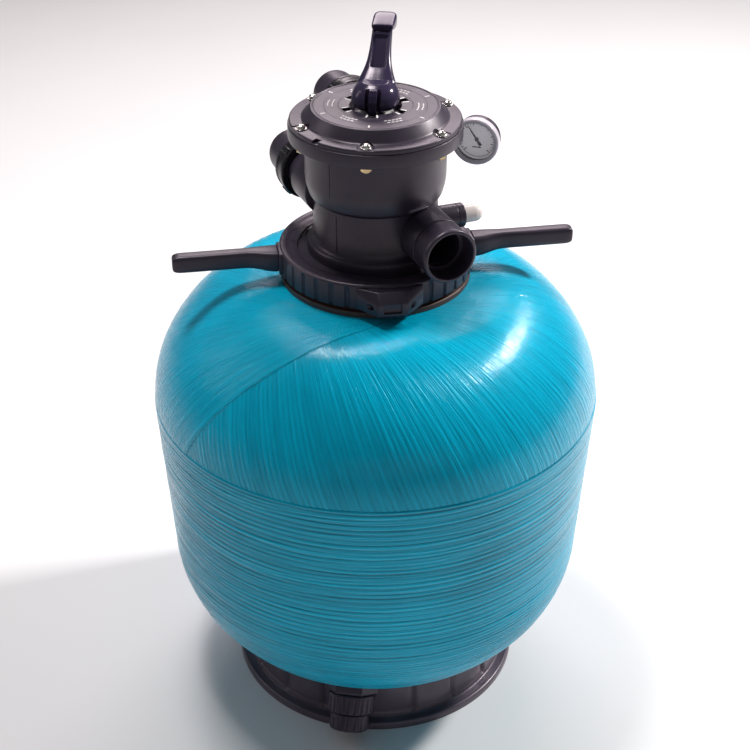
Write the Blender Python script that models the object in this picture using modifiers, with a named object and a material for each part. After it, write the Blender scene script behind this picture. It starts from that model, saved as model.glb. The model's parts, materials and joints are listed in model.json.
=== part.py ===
"""Top-mount sand filter: wound tank, base, clamped multiport valve, gauge, drain and internals.

Metres, +Z up. The origin is on the floor under the tank's axis, and the front faces -Y.
An azimuth is measured from the front (-Y) towards the right (+X).
"""
import math

import bmesh
import bpy
from mathutils import Matrix, Vector

# ---- driving dimensions (metres) ---------------------------------------------------------
GAP = 0.0003                # air kept between faces that touch on the real object

TANK_R = 0.2635             # largest radius, at the top of the hoop-wound side
SIDE_TOP_Z = 0.3994
SIDE_LOW_Z = 0.2037
SIDE_TAPER = 0.060          # radius lost for each metre down the side
DOME_H = 0.1855             # rise of the top dome's ellipse
CROWN_H = 0.1505            # where the dome flattens towards the neck
LOWER_H = 0.1850            # depth of the bottom dome
LOWER_POWER = 2.11
SHELL_T = 0.006
NECK_HOLE_R = 0.0905
TANK_STEPS = 36

BASE_R = 0.1805
BASE_RIM_T = 0.009
BASE_WALL_R = 0.1640
BASE_WALL_T = 0.0065
BASE_FLUTES = 18
FLUTE_DEPTH = 0.0032

NECK_TOP_Z = 0.5735
NECK_THREAD_R = 0.1035
COLLAR_R = 0.1103
COLLAR_LOW_Z = 0.5600
COLLAR_TOP_Z = 0.5898
HANDLE_AZ = 99.5
HANDLE_Z = 0.5795
HANDLE_TIP_R = 0.2320
LUG_AZ = 8.5

PORT_AZ = 24.0              # all three pipe ports run along this direction
UPPER_R = 0.0790            # valve body, upper tier
LOWER_R = 0.0704            # valve body, lower tier
FLANGE_R = 0.0964
FLANGE_Z = 0.7350           # top of the body, underside of the cover
FLANGE_LOW_Z = 0.7195
BODY_STEPS = 28
PORT_BORE_R = 0.0215
THREAD_R = 0.0264
CHAMBER_R = 0.0660
SEAT_Z = 0.6680
BOLT_CIRCLE_R = 0.0870
BOLT_AZ = -6.5              # first of six, 60 degrees apart
SHORT_BOLT = 3              # this one ends in the waste port's roof and has no nut
LONG_BOLT_Z = 0.7150
SHORT_BOLT_Z = 0.7230

COVER_TOP_Z = 0.7536
WELL_FLOOR_Z = 0.7440
PIN_Z = 0.7600
LEVER_AZ = -7.5
LEVER_LEAN = 46.0           # degrees from the vertical, leaning back over the cover
LEVER_ARM = 0.0825          # from the pin to the thumb pad's front edge, along the arm

RETURN_PORT = dict(right=0.0285, z=0.6250, seam=0.1040, face=0.1343)
PUMP_PORT = dict(right=-0.0470, z=0.6525, stub=0.0650, nut=0.0795)
WASTE_PORT = dict(right=0.0280, z=0.6985, stub=0.1130, nut=0.1240)
UNION_NUT_L = 0.0230
UNION_NUT_R = 0.0350
TAIL_L = 0.0420
TAIL_R = 0.0275
TAIL_BORE_R = 0.0215

GAUGE_AZ = -18.0
GAUGE_C = Vector((0.1118, 0.0260, 0.7000))
SIGHT_AZ = 109.0
SIGHT_Z = 0.6220
SIGHT_OFFSET = 0.0317       # how far in front of the valve's axis the sight glass lies

DRAIN_AZ = -9.5
DRAIN_SLOPE = 56.0          # degrees below the horizontal
DRAIN_END = (0.2015, 0.0185)   # radius and height of the cap's outer face

LATERALS = 6
LATERAL_Z = 0.0800


# ---- scene and helpers -------------------------------------------------------------------
for old in list(bpy.data.objects):
    bpy.data.objects.remove(old, do_unlink=True)
PARTS = bpy.data.collections.new("sand_filter")
CUTTERS = bpy.data.collections.new("cutters")
bpy.context.scene.collection.children.link(PARTS)
bpy.context.scene.collection.children.link(CUTTERS)


def material(name, color, roughness, metallic=0.0, alpha=1.0):
    mat = bpy.data.materials.new(name)
    mat.use_nodes = True
    shader = mat.node_tree.nodes["Principled BSDF"]
    shader.inputs["Base Color"].default_value = (*color, 1.0)
    shader.inputs["Roughness"].default_value = roughness
    shader.inputs["Metallic"].default_value = metallic
    shader.inputs["Alpha"].default_value = alpha
    mat.diffuse_color = (*color, alpha)
    return mat


FINISH = {
    "laminate": ((0.000, 0.330, 0.480), 0.22),
    "black_abs": ((0.045, 0.038, 0.050), 0.38),
    "base_black": ((0.028, 0.023, 0.028), 0.32),
    "neck_brown": ((0.120, 0.075, 0.060), 0.40),
    "lever_black": ((0.030, 0.028, 0.036), 0.18),
    "steel": ((0.620, 0.600, 0.580), 0.25, 1.0),
    "brass": ((0.660, 0.480, 0.220), 0.30, 1.0),
    "rubber": ((0.020, 0.020, 0.020), 0.75),
    "white_pvc": ((0.780, 0.780, 0.760), 0.40),
    "grey_abs": ((0.300, 0.300, 0.310), 0.45),
    "dial_white": ((0.830, 0.820, 0.820), 0.50),
    "clear_lens": ((0.900, 0.920, 0.930), 0.05, 0.0, 0.25),
}


def direction(azimuth, slope=0.0):
    """Unit vector at an azimuth, sloping down by the given degrees."""
    a, s = math.radians(azimuth), math.radians(slope)
    return Vector((math.sin(a) * math.cos(s), -math.cos(a) * math.cos(s), -math.sin(s)))


def frame_at(origin, axis, up=Vector((0, 0, 1))):
    """Matrix whose local +Z is axis and whose local +Y is as near to up as it can be."""
    z = Vector(axis).normalized()
    x = Vector(up).cross(z).normalized()
    y = z.cross(x)
    rot = Matrix((x, y, z)).transposed().to_4x4()
    return Matrix.Translation(origin) @ rot


def add(name, mesh, finish=None, where=None, sharp=35.0):
    """Put a mesh in the model as a node, or among the cutters when it has no finish."""
    obj = bpy.data.objects.new(name, mesh)
    if where is not None:
        obj.matrix_world = where
    if finish is None:
        CUTTERS.objects.link(obj)
        obj.hide_render = True
        obj.display_type = "WIRE"
    else:
        PARTS.objects.link(obj)
        mesh.materials.append(material(name, *FINISH[finish]))
        mesh.shade_smooth()
        mesh.set_sharp_from_angle(angle=math.radians(sharp))
    return obj


def profile_mesh(name, points, closed):
    mesh = bpy.data.meshes.new(name)
    count = len(points)
    edges = [(i, i + 1) for i in range(count - 1)]
    if closed:
        edges.append((count - 1, 0))
    mesh.from_pydata([(r, 0.0, z) for r, z in points], edges, [])
    return mesh


def turned(name, points, finish=None, where=None, steps=32, closed=True):
    """Turn (radius, height) points about local Z. The outer side runs from top to bottom.

    A closed outline makes a ring; an open one starts and ends on the axis.
    """
    obj = add(name, profile_mesh(name, points, closed), finish, where)
    screw = obj.modifiers.new("turn", "SCREW")
    screw.steps = steps
    screw.render_steps = steps
    screw.use_merge_vertices = True
    screw.merge_threshold = 0.00005
    screw.use_smooth_shade = True
    return obj


def rod(name, radius, start, end, finish=None, where=None, sides=24, radius_end=None):
    """Solid cylinder or cone along local Z from start to end."""
    bm = bmesh.new()
    bmesh.ops.create_cone(bm, cap_ends=True, segments=sides, radius1=radius,
                          radius2=radius if radius_end is None else radius_end,
                          depth=end - start)
    bmesh.ops.translate(bm, verts=bm.verts, vec=(0, 0, (start + end) / 2))
    mesh = bpy.data.meshes.new(name)
    bm.to_mesh(mesh)
    bm.free()
    return add(name, mesh, finish, where)


def block(name, low, high, finish=None, where=None):
    """Box between two corners."""
    bm = bmesh.new()
    bmesh.ops.create_cube(bm, size=1.0)
    low, high = Vector(low), Vector(high)
    bmesh.ops.scale(bm, verts=bm.verts, vec=high - low)
    bmesh.ops.translate(bm, verts=bm.verts, vec=(low + high) / 2)
    mesh = bpy.data.meshes.new(name)
    bm.to_mesh(mesh)
    bm.free()
    return add(name, mesh, finish, where)


def loft(name, rings, finish=None, where=None, sharp=35.0):
    """Skin a list of rings that have the same number of points, and cap both ends."""
    bm = bmesh.new()
    rows = [[bm.verts.new(p) for p in ring] for ring in rings]
    count = len(rows[0])
    for lower, upper in zip(rows, rows[1:]):
        for i in range(count):
            j = (i + 1) % count
            bm.faces.new((lower[i], lower[j], upper[j], upper[i]))
    bm.faces.new(list(reversed(rows[0])))
    bm.faces.new(rows[-1])
    bmesh.ops.recalc_face_normals(bm, faces=bm.faces)
    mesh = bpy.data.meshes.new(name)
    bm.to_mesh(mesh)
    bm.free()
    return add(name, mesh, finish, where, sharp)


def rounded_section(half_w, half_h, power=4.0, count=16):
    """Points of a superellipse: a rectangle with round corners for a high power."""
    points = []
    for i in range(count):
        a = 2 * math.pi * (i + 0.5) / count
        c, s = math.cos(a), math.sin(a)
        x = math.copysign(abs(c) ** (2 / power), c) * half_w
        y = math.copysign(abs(s) ** (2 / power), s) * half_h
        points.append((x, y))
    return points


def torus(name, major, minor, z, finish, where=None, steps=32, around=8):
    """O-ring: a round section turned about local Z at height z."""
    points = []
    for i in range(around):
        a = -2 * math.pi * i / around
        points.append((major + minor * math.cos(a), z + minor * math.sin(a)))
    return turned(name, points, finish, where, steps)


def boolean(obj, other, operation):
    mod = obj.modifiers.new(other.name, "BOOLEAN")
    mod.operation = operation
    mod.object = other
    mod.solver = "EXACT"


def cut(obj, *cutters):
    for cutter in cutters:
        boolean(obj, cutter, "DIFFERENCE")


def join(obj, *others):
    for other in others:
        boolean(obj, other, "UNION")


# ---- tank --------------------------------------------------------------------------------
def dome_point(angle, inset=0.0):
    """Outer (or inset) top dome: an ellipse whose crown flattens towards the neck."""
    rise = (DOME_H - inset) * math.sin(angle)
    crown = CROWN_H - inset
    flat = rise / (1 + (rise / crown) ** 20) ** (1 / 20)
    return (TANK_R - inset) * math.cos(angle), SIDE_TOP_Z + flat


def side_radius(z):
    return TANK_R - SIDE_TAPER * (SIDE_TOP_Z - z)


def lower_point(angle, inset=0.0):
    """Bottom dome, from the side (angle 0) to the lowest point (a right angle)."""
    power = 2 / LOWER_POWER
    r = (side_radius(SIDE_LOW_Z) - inset) * math.cos(angle) ** power
    z = SIDE_LOW_Z - (LOWER_H - inset) * math.sin(angle) ** power
    return max(r, 0.0), z


def tank_outline(inset, dome_steps, lower_steps):
    """Outline from the neck hole down the dome and side to the axis at the bottom."""
    start = math.acos(NECK_HOLE_R / (TANK_R - inset))
    dome = [dome_point(start * (1 - i / dome_steps), inset) for i in range(dome_steps + 1)]
    lower = [lower_point(math.pi / 2 * i / lower_steps, inset) for i in range(lower_steps)]
    return dome + lower + [(0.0, SIDE_LOW_Z - LOWER_H + inset)]


def make_tank():
    outer = tank_outline(0.0, 7, 7)
    inner = tank_outline(SHELL_T, 4, 4)
    shell = turned("tank_shell", list(reversed(inner)) + outer, "laminate", steps=TANK_STEPS, closed=False)
    cut(shell, rod("drain_hole", 0.0245, 0.0, 0.12, where=drain_frame()))
    return shell


def make_base():
    """Round foot: flat web, wide rim and a fluted wall that carries the bottom dome."""
    wall_in = BASE_WALL_R - BASE_WALL_T
    top, top_in = seat_height(BASE_WALL_R) - 0.0012, seat_height(wall_in) - 0.0012
    outline = [
        (BASE_WALL_R, top), (BASE_WALL_R, BASE_RIM_T + 0.004), (BASE_WALL_R + 0.004, BASE_RIM_T),
        (BASE_R - 0.003, BASE_RIM_T), (BASE_R, BASE_RIM_T - 0.003), (BASE_R, 0.0), (0.0, 0.0),
        (0.0, 0.006), (wall_in, 0.006), (wall_in, top_in)]
    bm = bmesh.new()
    verts = [bm.verts.new((r, 0.0, z)) for r, z in outline]
    edges = [bm.edges.new((a, b)) for a, b in zip(verts, verts[1:])]
    edges.append(bm.edges.new((verts[-1], verts[0])))
    bmesh.ops.spin(bm, geom=verts + edges, cent=(0, 0, 0), axis=(0, 0, 1),
                   angle=2 * math.pi, steps=BASE_FLUTES * 3, use_merge=True)
    bmesh.ops.remove_doubles(bm, verts=bm.verts, dist=0.00005)
    groove_r = BASE_WALL_R - FLUTE_DEPTH
    for v in bm.verts:
        on_wall = abs(math.hypot(v.co.x, v.co.y) - BASE_WALL_R) < 0.0005
        step = round(math.degrees(math.atan2(v.co.y, v.co.x)) / (360 / (BASE_FLUTES * 3)))
        if on_wall and step % 3 == 1:
            v.co.x *= groove_r / BASE_WALL_R
            v.co.y *= groove_r / BASE_WALL_R
            v.co.z = min(v.co.z, seat_height(groove_r) - 0.0012)
    bmesh.ops.recalc_face_normals(bm, faces=bm.faces)
    mesh = bpy.data.meshes.new("tank_base")
    bm.to_mesh(mesh)
    bm.free()
    base = add("tank_base", mesh, "base_black", sharp=25.0)
    cut(base, rod("drain_recess", 0.0338, -0.03, 0.09, where=drain_frame()))
    return base


def seat_height(radius):
    """Height of the bottom dome's outer surface at a radius."""
    ratio = radius / side_radius(SIDE_LOW_Z)
    return SIDE_LOW_Z - LOWER_H * (1 - ratio ** LOWER_POWER) ** (1 / LOWER_POWER)


# ---- drain -------------------------------------------------------------------------------
def drain_frame():
    """Origin at the middle of the cap's outer face; local +Z runs up into the tank."""
    radius, z = DRAIN_END
    origin = direction(DRAIN_AZ) * radius + Vector((0, 0, z))
    return frame_at(origin, -direction(DRAIN_AZ, DRAIN_SLOPE))


def make_drain():
    here = drain_frame()
    spigot = rod("drain_spigot", 0.0323, 0.0463, 0.0700, "black_abs", here, sides=6)
    join(spigot, rod("spigot_tube", 0.0238, 0.0320, 0.0900, where=here, sides=28))
    cut(spigot, tank_hull(here), rod("spigot_bore", 0.0192, 0.02, 0.11, where=here, sides=28))
    nut = [(0.0280, 0.0435), (0.0280, 0.0215), (0.0188, 0.0215), (0.0188, 0.0058),
           (0.0130, 0.0058), (0.0130, 0.0290), (0.0242, 0.0290), (0.0242, 0.0458),
           (0.0268, 0.0458)]
    turned("drain_nut", nut, "black_abs", here, steps=20)
    seal = [(0.0234, 0.0317), (0.0234, 0.0293), (0.0190, 0.0293), (0.0190, 0.0317)]
    turned("drain_nut_gasket", seal, "rubber", here, steps=20)
    cap = [(0.0, 0.0030), (0.0192, 0.0030), (0.0192, 0.0210), (0.0236, 0.0210),
           (0.0236, 0.0022), (0.0214, 0.0), (0.0, 0.0)]
    turned("drain_cap", cap, "black_abs", here, steps=20, closed=False)
    rod("drain_cap_gasket", 0.0186, 0.0033, 0.0055, "rubber", here)
    screen = [(0.0, 0.1120), (0.0165, 0.1120), (0.0165, 0.0560), (0.0150, 0.0560),
              (0.0150, 0.1100), (0.0, 0.1100)]
    tube = turned("drain_screen", screen, "white_pvc", here, steps=12, closed=False)
    for i in range(2):
        z = 0.0935 + 0.0055 * i
        cut(tube, block(f"screen_slot_{i}", (-0.03, -0.009, z), (0.03, 0.009, z + 0.002), where=here))


def tank_hull(here):
    """The tank's outer surface grown by the gap, as a cutter for the drain's flange."""
    grown = [(r + GAP if r else 0.0, z - GAP) for r, z in tank_outline(0.0, 7, 7) if z < 0.30]
    top = grown[0][1]
    return turned("tank_outside", [(0.0, top)] + grown, steps=TANK_STEPS, closed=False)


# ---- neck and locking collar -------------------------------------------------------------
def make_neck():
    neck = [
        (NECK_THREAD_R, NECK_TOP_Z), (NECK_THREAD_R, 0.5557), (0.1090, 0.5557), (0.1090, 0.5500),
        (0.0895, 0.5500), (0.0895, 0.5320), (0.0800, 0.5320), (0.0800, NECK_TOP_Z),
        (0.0855, NECK_TOP_Z), (0.0855, 0.5710), (0.0905, 0.5710), (0.0905, NECK_TOP_Z)]
    turned("neck_flange", neck, "neck_brown", steps=28)
    torus("neck_o_ring", 0.0880, 0.0011, 0.5724, "rubber", steps=20, around=5)


def make_collar():
    ring = [
        (0.1086, COLLAR_TOP_Z), (COLLAR_R, COLLAR_TOP_Z - 0.0015), (COLLAR_R, COLLAR_LOW_Z),
        (0.1042, COLLAR_LOW_Z), (0.1042, 0.5835), (0.0893, 0.5835), (0.0893, 0.5868)]
    collar = turned("locking_collar", ring, "black_abs", steps=32)
    lug_in, lug_out, lug_low, lug_top = 0.1050, 0.1290, 0.5620, 0.5862
    plan = [(-0.0375, lug_in), (-0.0155, lug_out), (0.0155, lug_out), (0.0375, lug_in)]
    rings = [[(x, -y, lug_low) for x, y in plan], [(x, -y, 0.5770) for x, y in plan],
             [(x * (0.97 if y > lug_in else 1), -y + (0.011 if y > lug_in else 0), lug_top)
              for x, y in plan]]
    turn = Matrix.Rotation(math.radians(LUG_AZ), 4, "Z")
    join(collar, loft("collar_lug", rings, where=turn))
    hole = frame_at(direction(LUG_AZ) * 0.1200 + Vector((0, 0, 0.5700)), direction(LUG_AZ + 90))
    cut(collar, rod("lug_hole", 0.0034, -0.06, 0.06, where=hole, sides=12))
    for side, azimuth in (("right", HANDLE_AZ), ("left", HANDLE_AZ - 180)):
        seat = Matrix.Rotation(math.radians(azimuth), 4, "Z")
        join(collar, block(f"handle_seat_{side}", (-0.0155, -0.1130, 0.5640),
                           (0.0155, -0.1052, 0.5885), where=seat))
    slip = [(0.0995, 0.5832), (0.0995, 0.5808), (0.0900, 0.5808), (0.0900, 0.5832)]
    turned("collar_slip_ring", slip, "white_pvc", steps=24)


def make_handle(name, azimuth):
    """Grip bar: a wide root against the collar, a waist and a rounded end."""
    stations = [  # radius from the axis, half width, half height, drop of the middle
        (0.1133, 0.0140, 0.0122, 0.0030), (0.1240, 0.0132, 0.0120, 0.0026),
        (0.1400, 0.0094, 0.0108, 0.0004), (0.1480, 0.0084, 0.0103, 0.0), (0.2230, 0.0084, 0.0103, 0.0),
        (0.2290, 0.0074, 0.0092, 0.0), (HANDLE_TIP_R, 0.0044, 0.0060, 0.0)]
    rings = []
    for radius, half_w, half_h, drop in stations:
        section = rounded_section(half_w, half_h, 4.5)
        rings.append([(x, -radius, HANDLE_Z - drop + z) for x, z in section])
    loft(name, rings, "black_abs", Matrix.Rotation(math.radians(azimuth), 4, "Z"))


# ---- valve body --------------------------------------------------------------------------
def port_frame(port, outward=1):
    """Frame on a port's axis beside the valve's axis; local +Z leaves the valve."""
    across = direction(PORT_AZ + 90) * port["right"]
    return frame_at(across + Vector((0, 0, port["z"])), direction(PORT_AZ) * outward)


def gauge_frame():
    return frame_at(GAUGE_C, direction(GAUGE_AZ))


def gauge_stem_frame():
    return frame_at(GAUGE_C, -direction(GAUGE_AZ + 90))


def sight_frame():
    offset = direction(SIGHT_AZ - 90) * SIGHT_OFFSET
    return frame_at(offset + Vector((0, 0, SIGHT_Z)), direction(SIGHT_AZ))


def bolt_places():
    return [direction(BOLT_AZ + 60 * i) * BOLT_CIRCLE_R for i in range(6)]


def make_valve_body():
    """Two-tier body on a clamped foot, hollowed into a rotor chamber and a lower passage."""
    outside = [
        (0.0, FLANGE_Z), (FLANGE_R, FLANGE_Z), (FLANGE_R, FLANGE_LOW_Z), (UPPER_R, FLANGE_LOW_Z),
        (UPPER_R, 0.6720), (0.0768, 0.6610), (LOWER_R, 0.6520), (LOWER_R, 0.6050),
        (0.0765, 0.5965), (0.0765, 0.5805), (0.1000, 0.5805), (0.1000, 0.5740),
        (0.0780, 0.5740), (0.0780, 0.5400), (0.0, 0.5400)]
    body = turned("valve_body", outside, "black_abs", steps=BODY_STEPS, closed=False)
    ret, pump, waste = port_frame(RETURN_PORT), port_frame(PUMP_PORT, -1), port_frame(WASTE_PORT, -1)
    stem, sight = gauge_stem_frame(), sight_frame()
    join(body,
         rod("return_stub", 0.0305, 0.0480, RETURN_PORT["seam"], where=ret),
         rod("pump_stub", 0.0295, 0.0300, PUMP_PORT["stub"], where=pump),
         rod("pump_thread", THREAD_R, 0.0400, PUMP_PORT["nut"] + 0.0165, where=pump),
         rod("waste_stub", 0.0290, 0.0600, WASTE_PORT["stub"], where=waste),
         rod("waste_thread", THREAD_R, 0.1000, WASTE_PORT["nut"] + 0.0165, where=waste),
         rod("gauge_boss", 0.0074, 0.0385, 0.0680, where=stem, sides=12),
         rod("sight_boss", 0.0139, 0.0560, 0.0845, where=sight, sides=16))
    chamber = [
        (0.0745, 0.7400), (0.0745, 0.7320), (0.0700, 0.7320), (0.0700, 0.7340),
        (CHAMBER_R, 0.7340), (CHAMBER_R, SEAT_Z), (0.0, SEAT_Z)]
    passage = [
        (0.0600, 0.6620), (0.0600, 0.5300), (0.0300, 0.5300), (0.0300, 0.6620)]
    riser = [
        (0.0, 0.6700), (0.0215, 0.6700), (0.0215, 0.6000), (0.0247, 0.6000), (0.0247, 0.5300),
        (0.0, 0.5300)]
    cut(body,
        turned("chamber", [(0.0, 0.7400)] + chamber, steps=BODY_STEPS, closed=False),
        turned("passage", passage, steps=24),
        turned("riser", riser, steps=20, closed=False),
        rod("return_bore", PORT_BORE_R, 0.0450, 0.1200, where=ret, sides=20),
        rod("pump_bore", PORT_BORE_R, 0.0400, 0.1200, where=pump, sides=20),
        rod("waste_bore", PORT_BORE_R, 0.0500, 0.1700, where=waste, sides=20),
        rod("gauge_tap", 0.0049, 0.0300, 0.0610, where=stem, sides=10),
        rod("sight_hole", 0.0103, 0.0500, 0.1000, where=sight, sides=14))
    for i, place in enumerate(bolt_places()):
        low = SHORT_BOLT_Z if i == SHORT_BOLT else LONG_BOLT_Z
        cut(body, rod(f"body_bolt_hole_{i}", 0.0033, low - GAP, 0.74,
                      where=Matrix.Translation(place), sides=8))
    for i in range(4):
        spot = Matrix.Translation(direction(45 + 90 * i) * 0.0450)
        cut(body, rod(f"seat_window_{i}", 0.0125, 0.655, 0.675, where=spot, sides=8))


def make_cover():
    outline = [
        (0.0713, COVER_TOP_Z), (0.0798, 0.7412), (0.0801, 0.7397), (0.0937, 0.7397),
        (0.0947, 0.7387), (0.0947, FLANGE_Z + GAP), (0.0650, FLANGE_Z + GAP),
        (0.0650, 0.7290), (0.0590, 0.7290), (0.0590, 0.7360), (0.0090, 0.7360),
        (0.0090, WELL_FLOOR_Z), (0.0282, WELL_FLOOR_Z), (0.0282, COVER_TOP_Z)]
    cover = turned("valve_cover", outline, "black_abs", steps=BODY_STEPS)
    for i, place in enumerate(bolt_places()):
        cut(cover, rod(f"cover_bolt_hole_{i}", 0.0033, 0.73, 0.75,
                       where=Matrix.Translation(place), sides=8))
        notch = Matrix.Rotation(math.radians(BOLT_AZ + 60 * i), 4, "Z")
        cut(cover, block(f"lock_notch_{i}", (-0.0042, -0.0385, 0.7490), (0.0042, -0.0265, 0.7600),
                         where=notch))
    mark = Matrix.Rotation(math.radians(-42.4), 4, "Z")
    cut(cover, block("rim_notch", (-0.0040, -0.0960, 0.7372), (0.0040, -0.0880, 0.7420), where=mark))
    torus("cover_o_ring", 0.0722, 0.0011, 0.7334, "rubber", steps=20, around=5)
    wear = [(0.0200, 0.7456), (0.0200, 0.7443), (0.0095, 0.7443), (0.0095, 0.7456)]
    turned("lever_wear_ring", wear, "white_pvc", steps=20)


def make_bolts():
    """Pan-head bolts with washers through cover and flange, and their nuts."""
    head_z = 0.7400
    for i, place in enumerate(bolt_places()):
        here = Matrix.Translation(place)
        low = SHORT_BOLT_Z if i == SHORT_BOLT else LONG_BOLT_Z
        bolt = [
            (0.0, head_z + 0.0052), (0.0046, head_z + 0.0034), (0.0052, head_z + 0.0012),
            (0.0062, head_z + 0.0012), (0.0062, head_z), (0.0030, head_z), (0.0030, low), (0.0, low)]
        turned(f"cover_bolt_{i + 1}", bolt, "steel", here, steps=10, closed=False)
        if i == SHORT_BOLT:
            continue
        nut = rod(f"cover_nut_{i + 1}", 0.0058, 0.7135, 0.7190, "brass", here, sides=6)
        cut(nut, rod(f"nut_thread_{i}", 0.0033, 0.7146, 0.7250, where=here, sides=10))


# ---- selector: rotor, spring and lever ----------------------------------------------------
def make_rotor():
    outline = [
        (0.0, 0.7680), (0.0060, 0.7680), (0.0085, 0.7650), (0.0085, 0.7405), (0.0066, 0.7405),
        (0.0066, 0.7380), (0.0085, 0.7380), (0.0085, 0.7000), (0.0240, 0.7000), (0.0260, 0.6980),
        (0.0560, 0.6880), (0.0640, 0.6860), (0.0640, 0.6716), (0.0, 0.6716)]
    rotor = turned("rotor", outline, "grey_abs", steps=24, closed=False)
    window = Matrix.Translation(direction(LEVER_AZ + 30) * 0.0450)
    cut(rotor, rod("rotor_window", 0.0130, 0.66, 0.71, where=window, sides=8),
        rod("pin_eye", 0.0033, -0.02, 0.02, where=pin_frame(), sides=12))
    for i in range(3):
        spot = Matrix.Translation(direction(LEVER_AZ + 115 + 60 * i) * 0.0430)
        cut(rotor, rod(f"rotor_pocket_{i}", 0.0130, 0.66, 0.6810, where=spot, sides=8))
    torus("stem_o_ring", 0.0077, 0.0009, 0.7392, "rubber", steps=18, around=6)
    gasket = [(0.0635, 0.6712), (0.0635, SEAT_Z + GAP), (0.0225, SEAT_Z + GAP), (0.0225, 0.6712)]
    seal = turned("spider_gasket", gasket, "rubber", steps=20)
    for i in range(4):
        spot = Matrix.Translation(direction(45 + 90 * i) * 0.0450)
        cut(seal, rod(f"gasket_window_{i}", 0.0140, 0.66, 0.68, where=spot, sides=8))
    washer = [(0.0210, 0.7356), (0.0210, 0.7344), (0.0100, 0.7344), (0.0100, 0.7356)]
    turned("spring_washer", washer, "steel", steps=20)
    make_spring("rotor_spring", 0.0150, 0.0011, 0.7017, 0.7327, 4)


def make_spring(name, radius, wire, low, high, turns):
    """Open coil between two heights, as a poly curve with flat-lying end turns."""
    per_turn = 10
    count = turns * per_turn
    curve = bpy.data.curves.new(name, "CURVE")
    curve.dimensions = "3D"
    curve.bevel_depth = wire
    curve.bevel_resolution = 1
    curve.use_fill_caps = True
    line = curve.splines.new("POLY")
    line.points.add(count)
    for i, point in enumerate(line.points):
        a = 2 * math.pi * i / per_turn
        share = min(max((i - per_turn / 2) / (count - per_turn), 0.0), 1.0)
        point.co = (radius * math.cos(a), radius * math.sin(a), low + (high - low) * share, 1.0)
    line.use_smooth = True
    coil = bpy.data.objects.new(name, curve)
    PARTS.objects.link(coil)
    curve.materials.append(material(name, *FINISH["steel"]))


def pin_frame():
    return frame_at(Vector((0, 0, PIN_Z)), direction(LEVER_AZ + 90))


def make_lever():
    """Selector lever: a cam foot round the pin, an arm that leans back and a thumb pad."""
    turn = Matrix.Translation((0, 0, PIN_Z)) @ Matrix.Rotation(math.radians(LEVER_AZ), 4, "Z")
    foot = [  # height from the pin, half width, half depth
        (-0.0138, 0.0070, 0.0060), (-0.0120, 0.0140, 0.0115), (-0.0080, 0.0200, 0.0180),
        (-0.0055, 0.0235, 0.0225), (0.0000, 0.0262, 0.0262), (0.0060, 0.0256, 0.0254),
        (0.0115, 0.0235, 0.0228), (0.0165, 0.0195, 0.0185), (0.0200, 0.0130, 0.0120)]
    rings = [[(x, y, z) for x, y in rounded_section(w, d, 2.3, 16)] for z, w, d in foot]
    lever = loft("control_lever", rings, "lever_black", turn)
    lean = turn @ Matrix.Rotation(math.radians(-LEVER_LEAN), 4, "X")
    arm = [  # distance along the arm, half width, half depth, middle above the arm's axis
        (0.0020, 0.0200, 0.0120, 0.000), (0.0170, 0.0212, 0.0120, 0.000),
        (0.0300, 0.0168, 0.0095, 0.000), (0.0470, 0.0123, 0.0075, 0.000),
        (0.0670, 0.0116, 0.0062, 0.000), (LEVER_ARM + 0.0040, 0.0112, 0.0062, 0.000)]
    sections = [[(x, y - up, t) for x, y in rounded_section(w, d, 3.0, 16)] for t, w, d, up in arm]
    pad_at = turn @ Matrix.Translation((0, LEVER_ARM * math.sin(math.radians(LEVER_LEAN)),
                                        LEVER_ARM * math.cos(math.radians(LEVER_LEAN))))
    pad_at = pad_at @ Matrix.Rotation(math.radians(10), 4, "X")
    pad = [  # distance back from the arm's end, half width, half height, middle
        (-0.0060, 0.0105, 0.0018, 0.0075), (-0.0050, 0.0118, 0.0032, 0.0062),
        (0.0060, 0.0126, 0.0062, 0.0030), (0.0180, 0.0126, 0.0075, 0.0015),
        (0.0240, 0.0116, 0.0068, 0.0018), (0.0270, 0.0090, 0.0045, 0.0025)]
    slabs = [[(x, y, mid + z) for x, z in rounded_section(w, h, 4.5, 16)] for y, w, h, mid in pad]
    join(lever, loft("lever_arm", sections, where=lean), loft("thumb_pad", slabs, where=pad_at))
    cut(lever,
        block("stem_slot", (-0.0092, -0.0100, -0.0300), (0.0092, 0.0220, 0.0000), where=turn),
        rod("stem_clearance", 0.0106, -0.0092, 0.0092, where=pin_frame(), sides=16),
        rod("pin_hole", 0.0033, -0.04, 0.04, where=pin_frame(), sides=12),
        block("arm_recess", (-0.0085, -0.0200, 0.0360), (0.0085, -0.0035, 0.0730), where=lean))
    rod("lever_pin", 0.0030, -0.0215, 0.0215, "steel", pin_frame(), sides=12)


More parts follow.
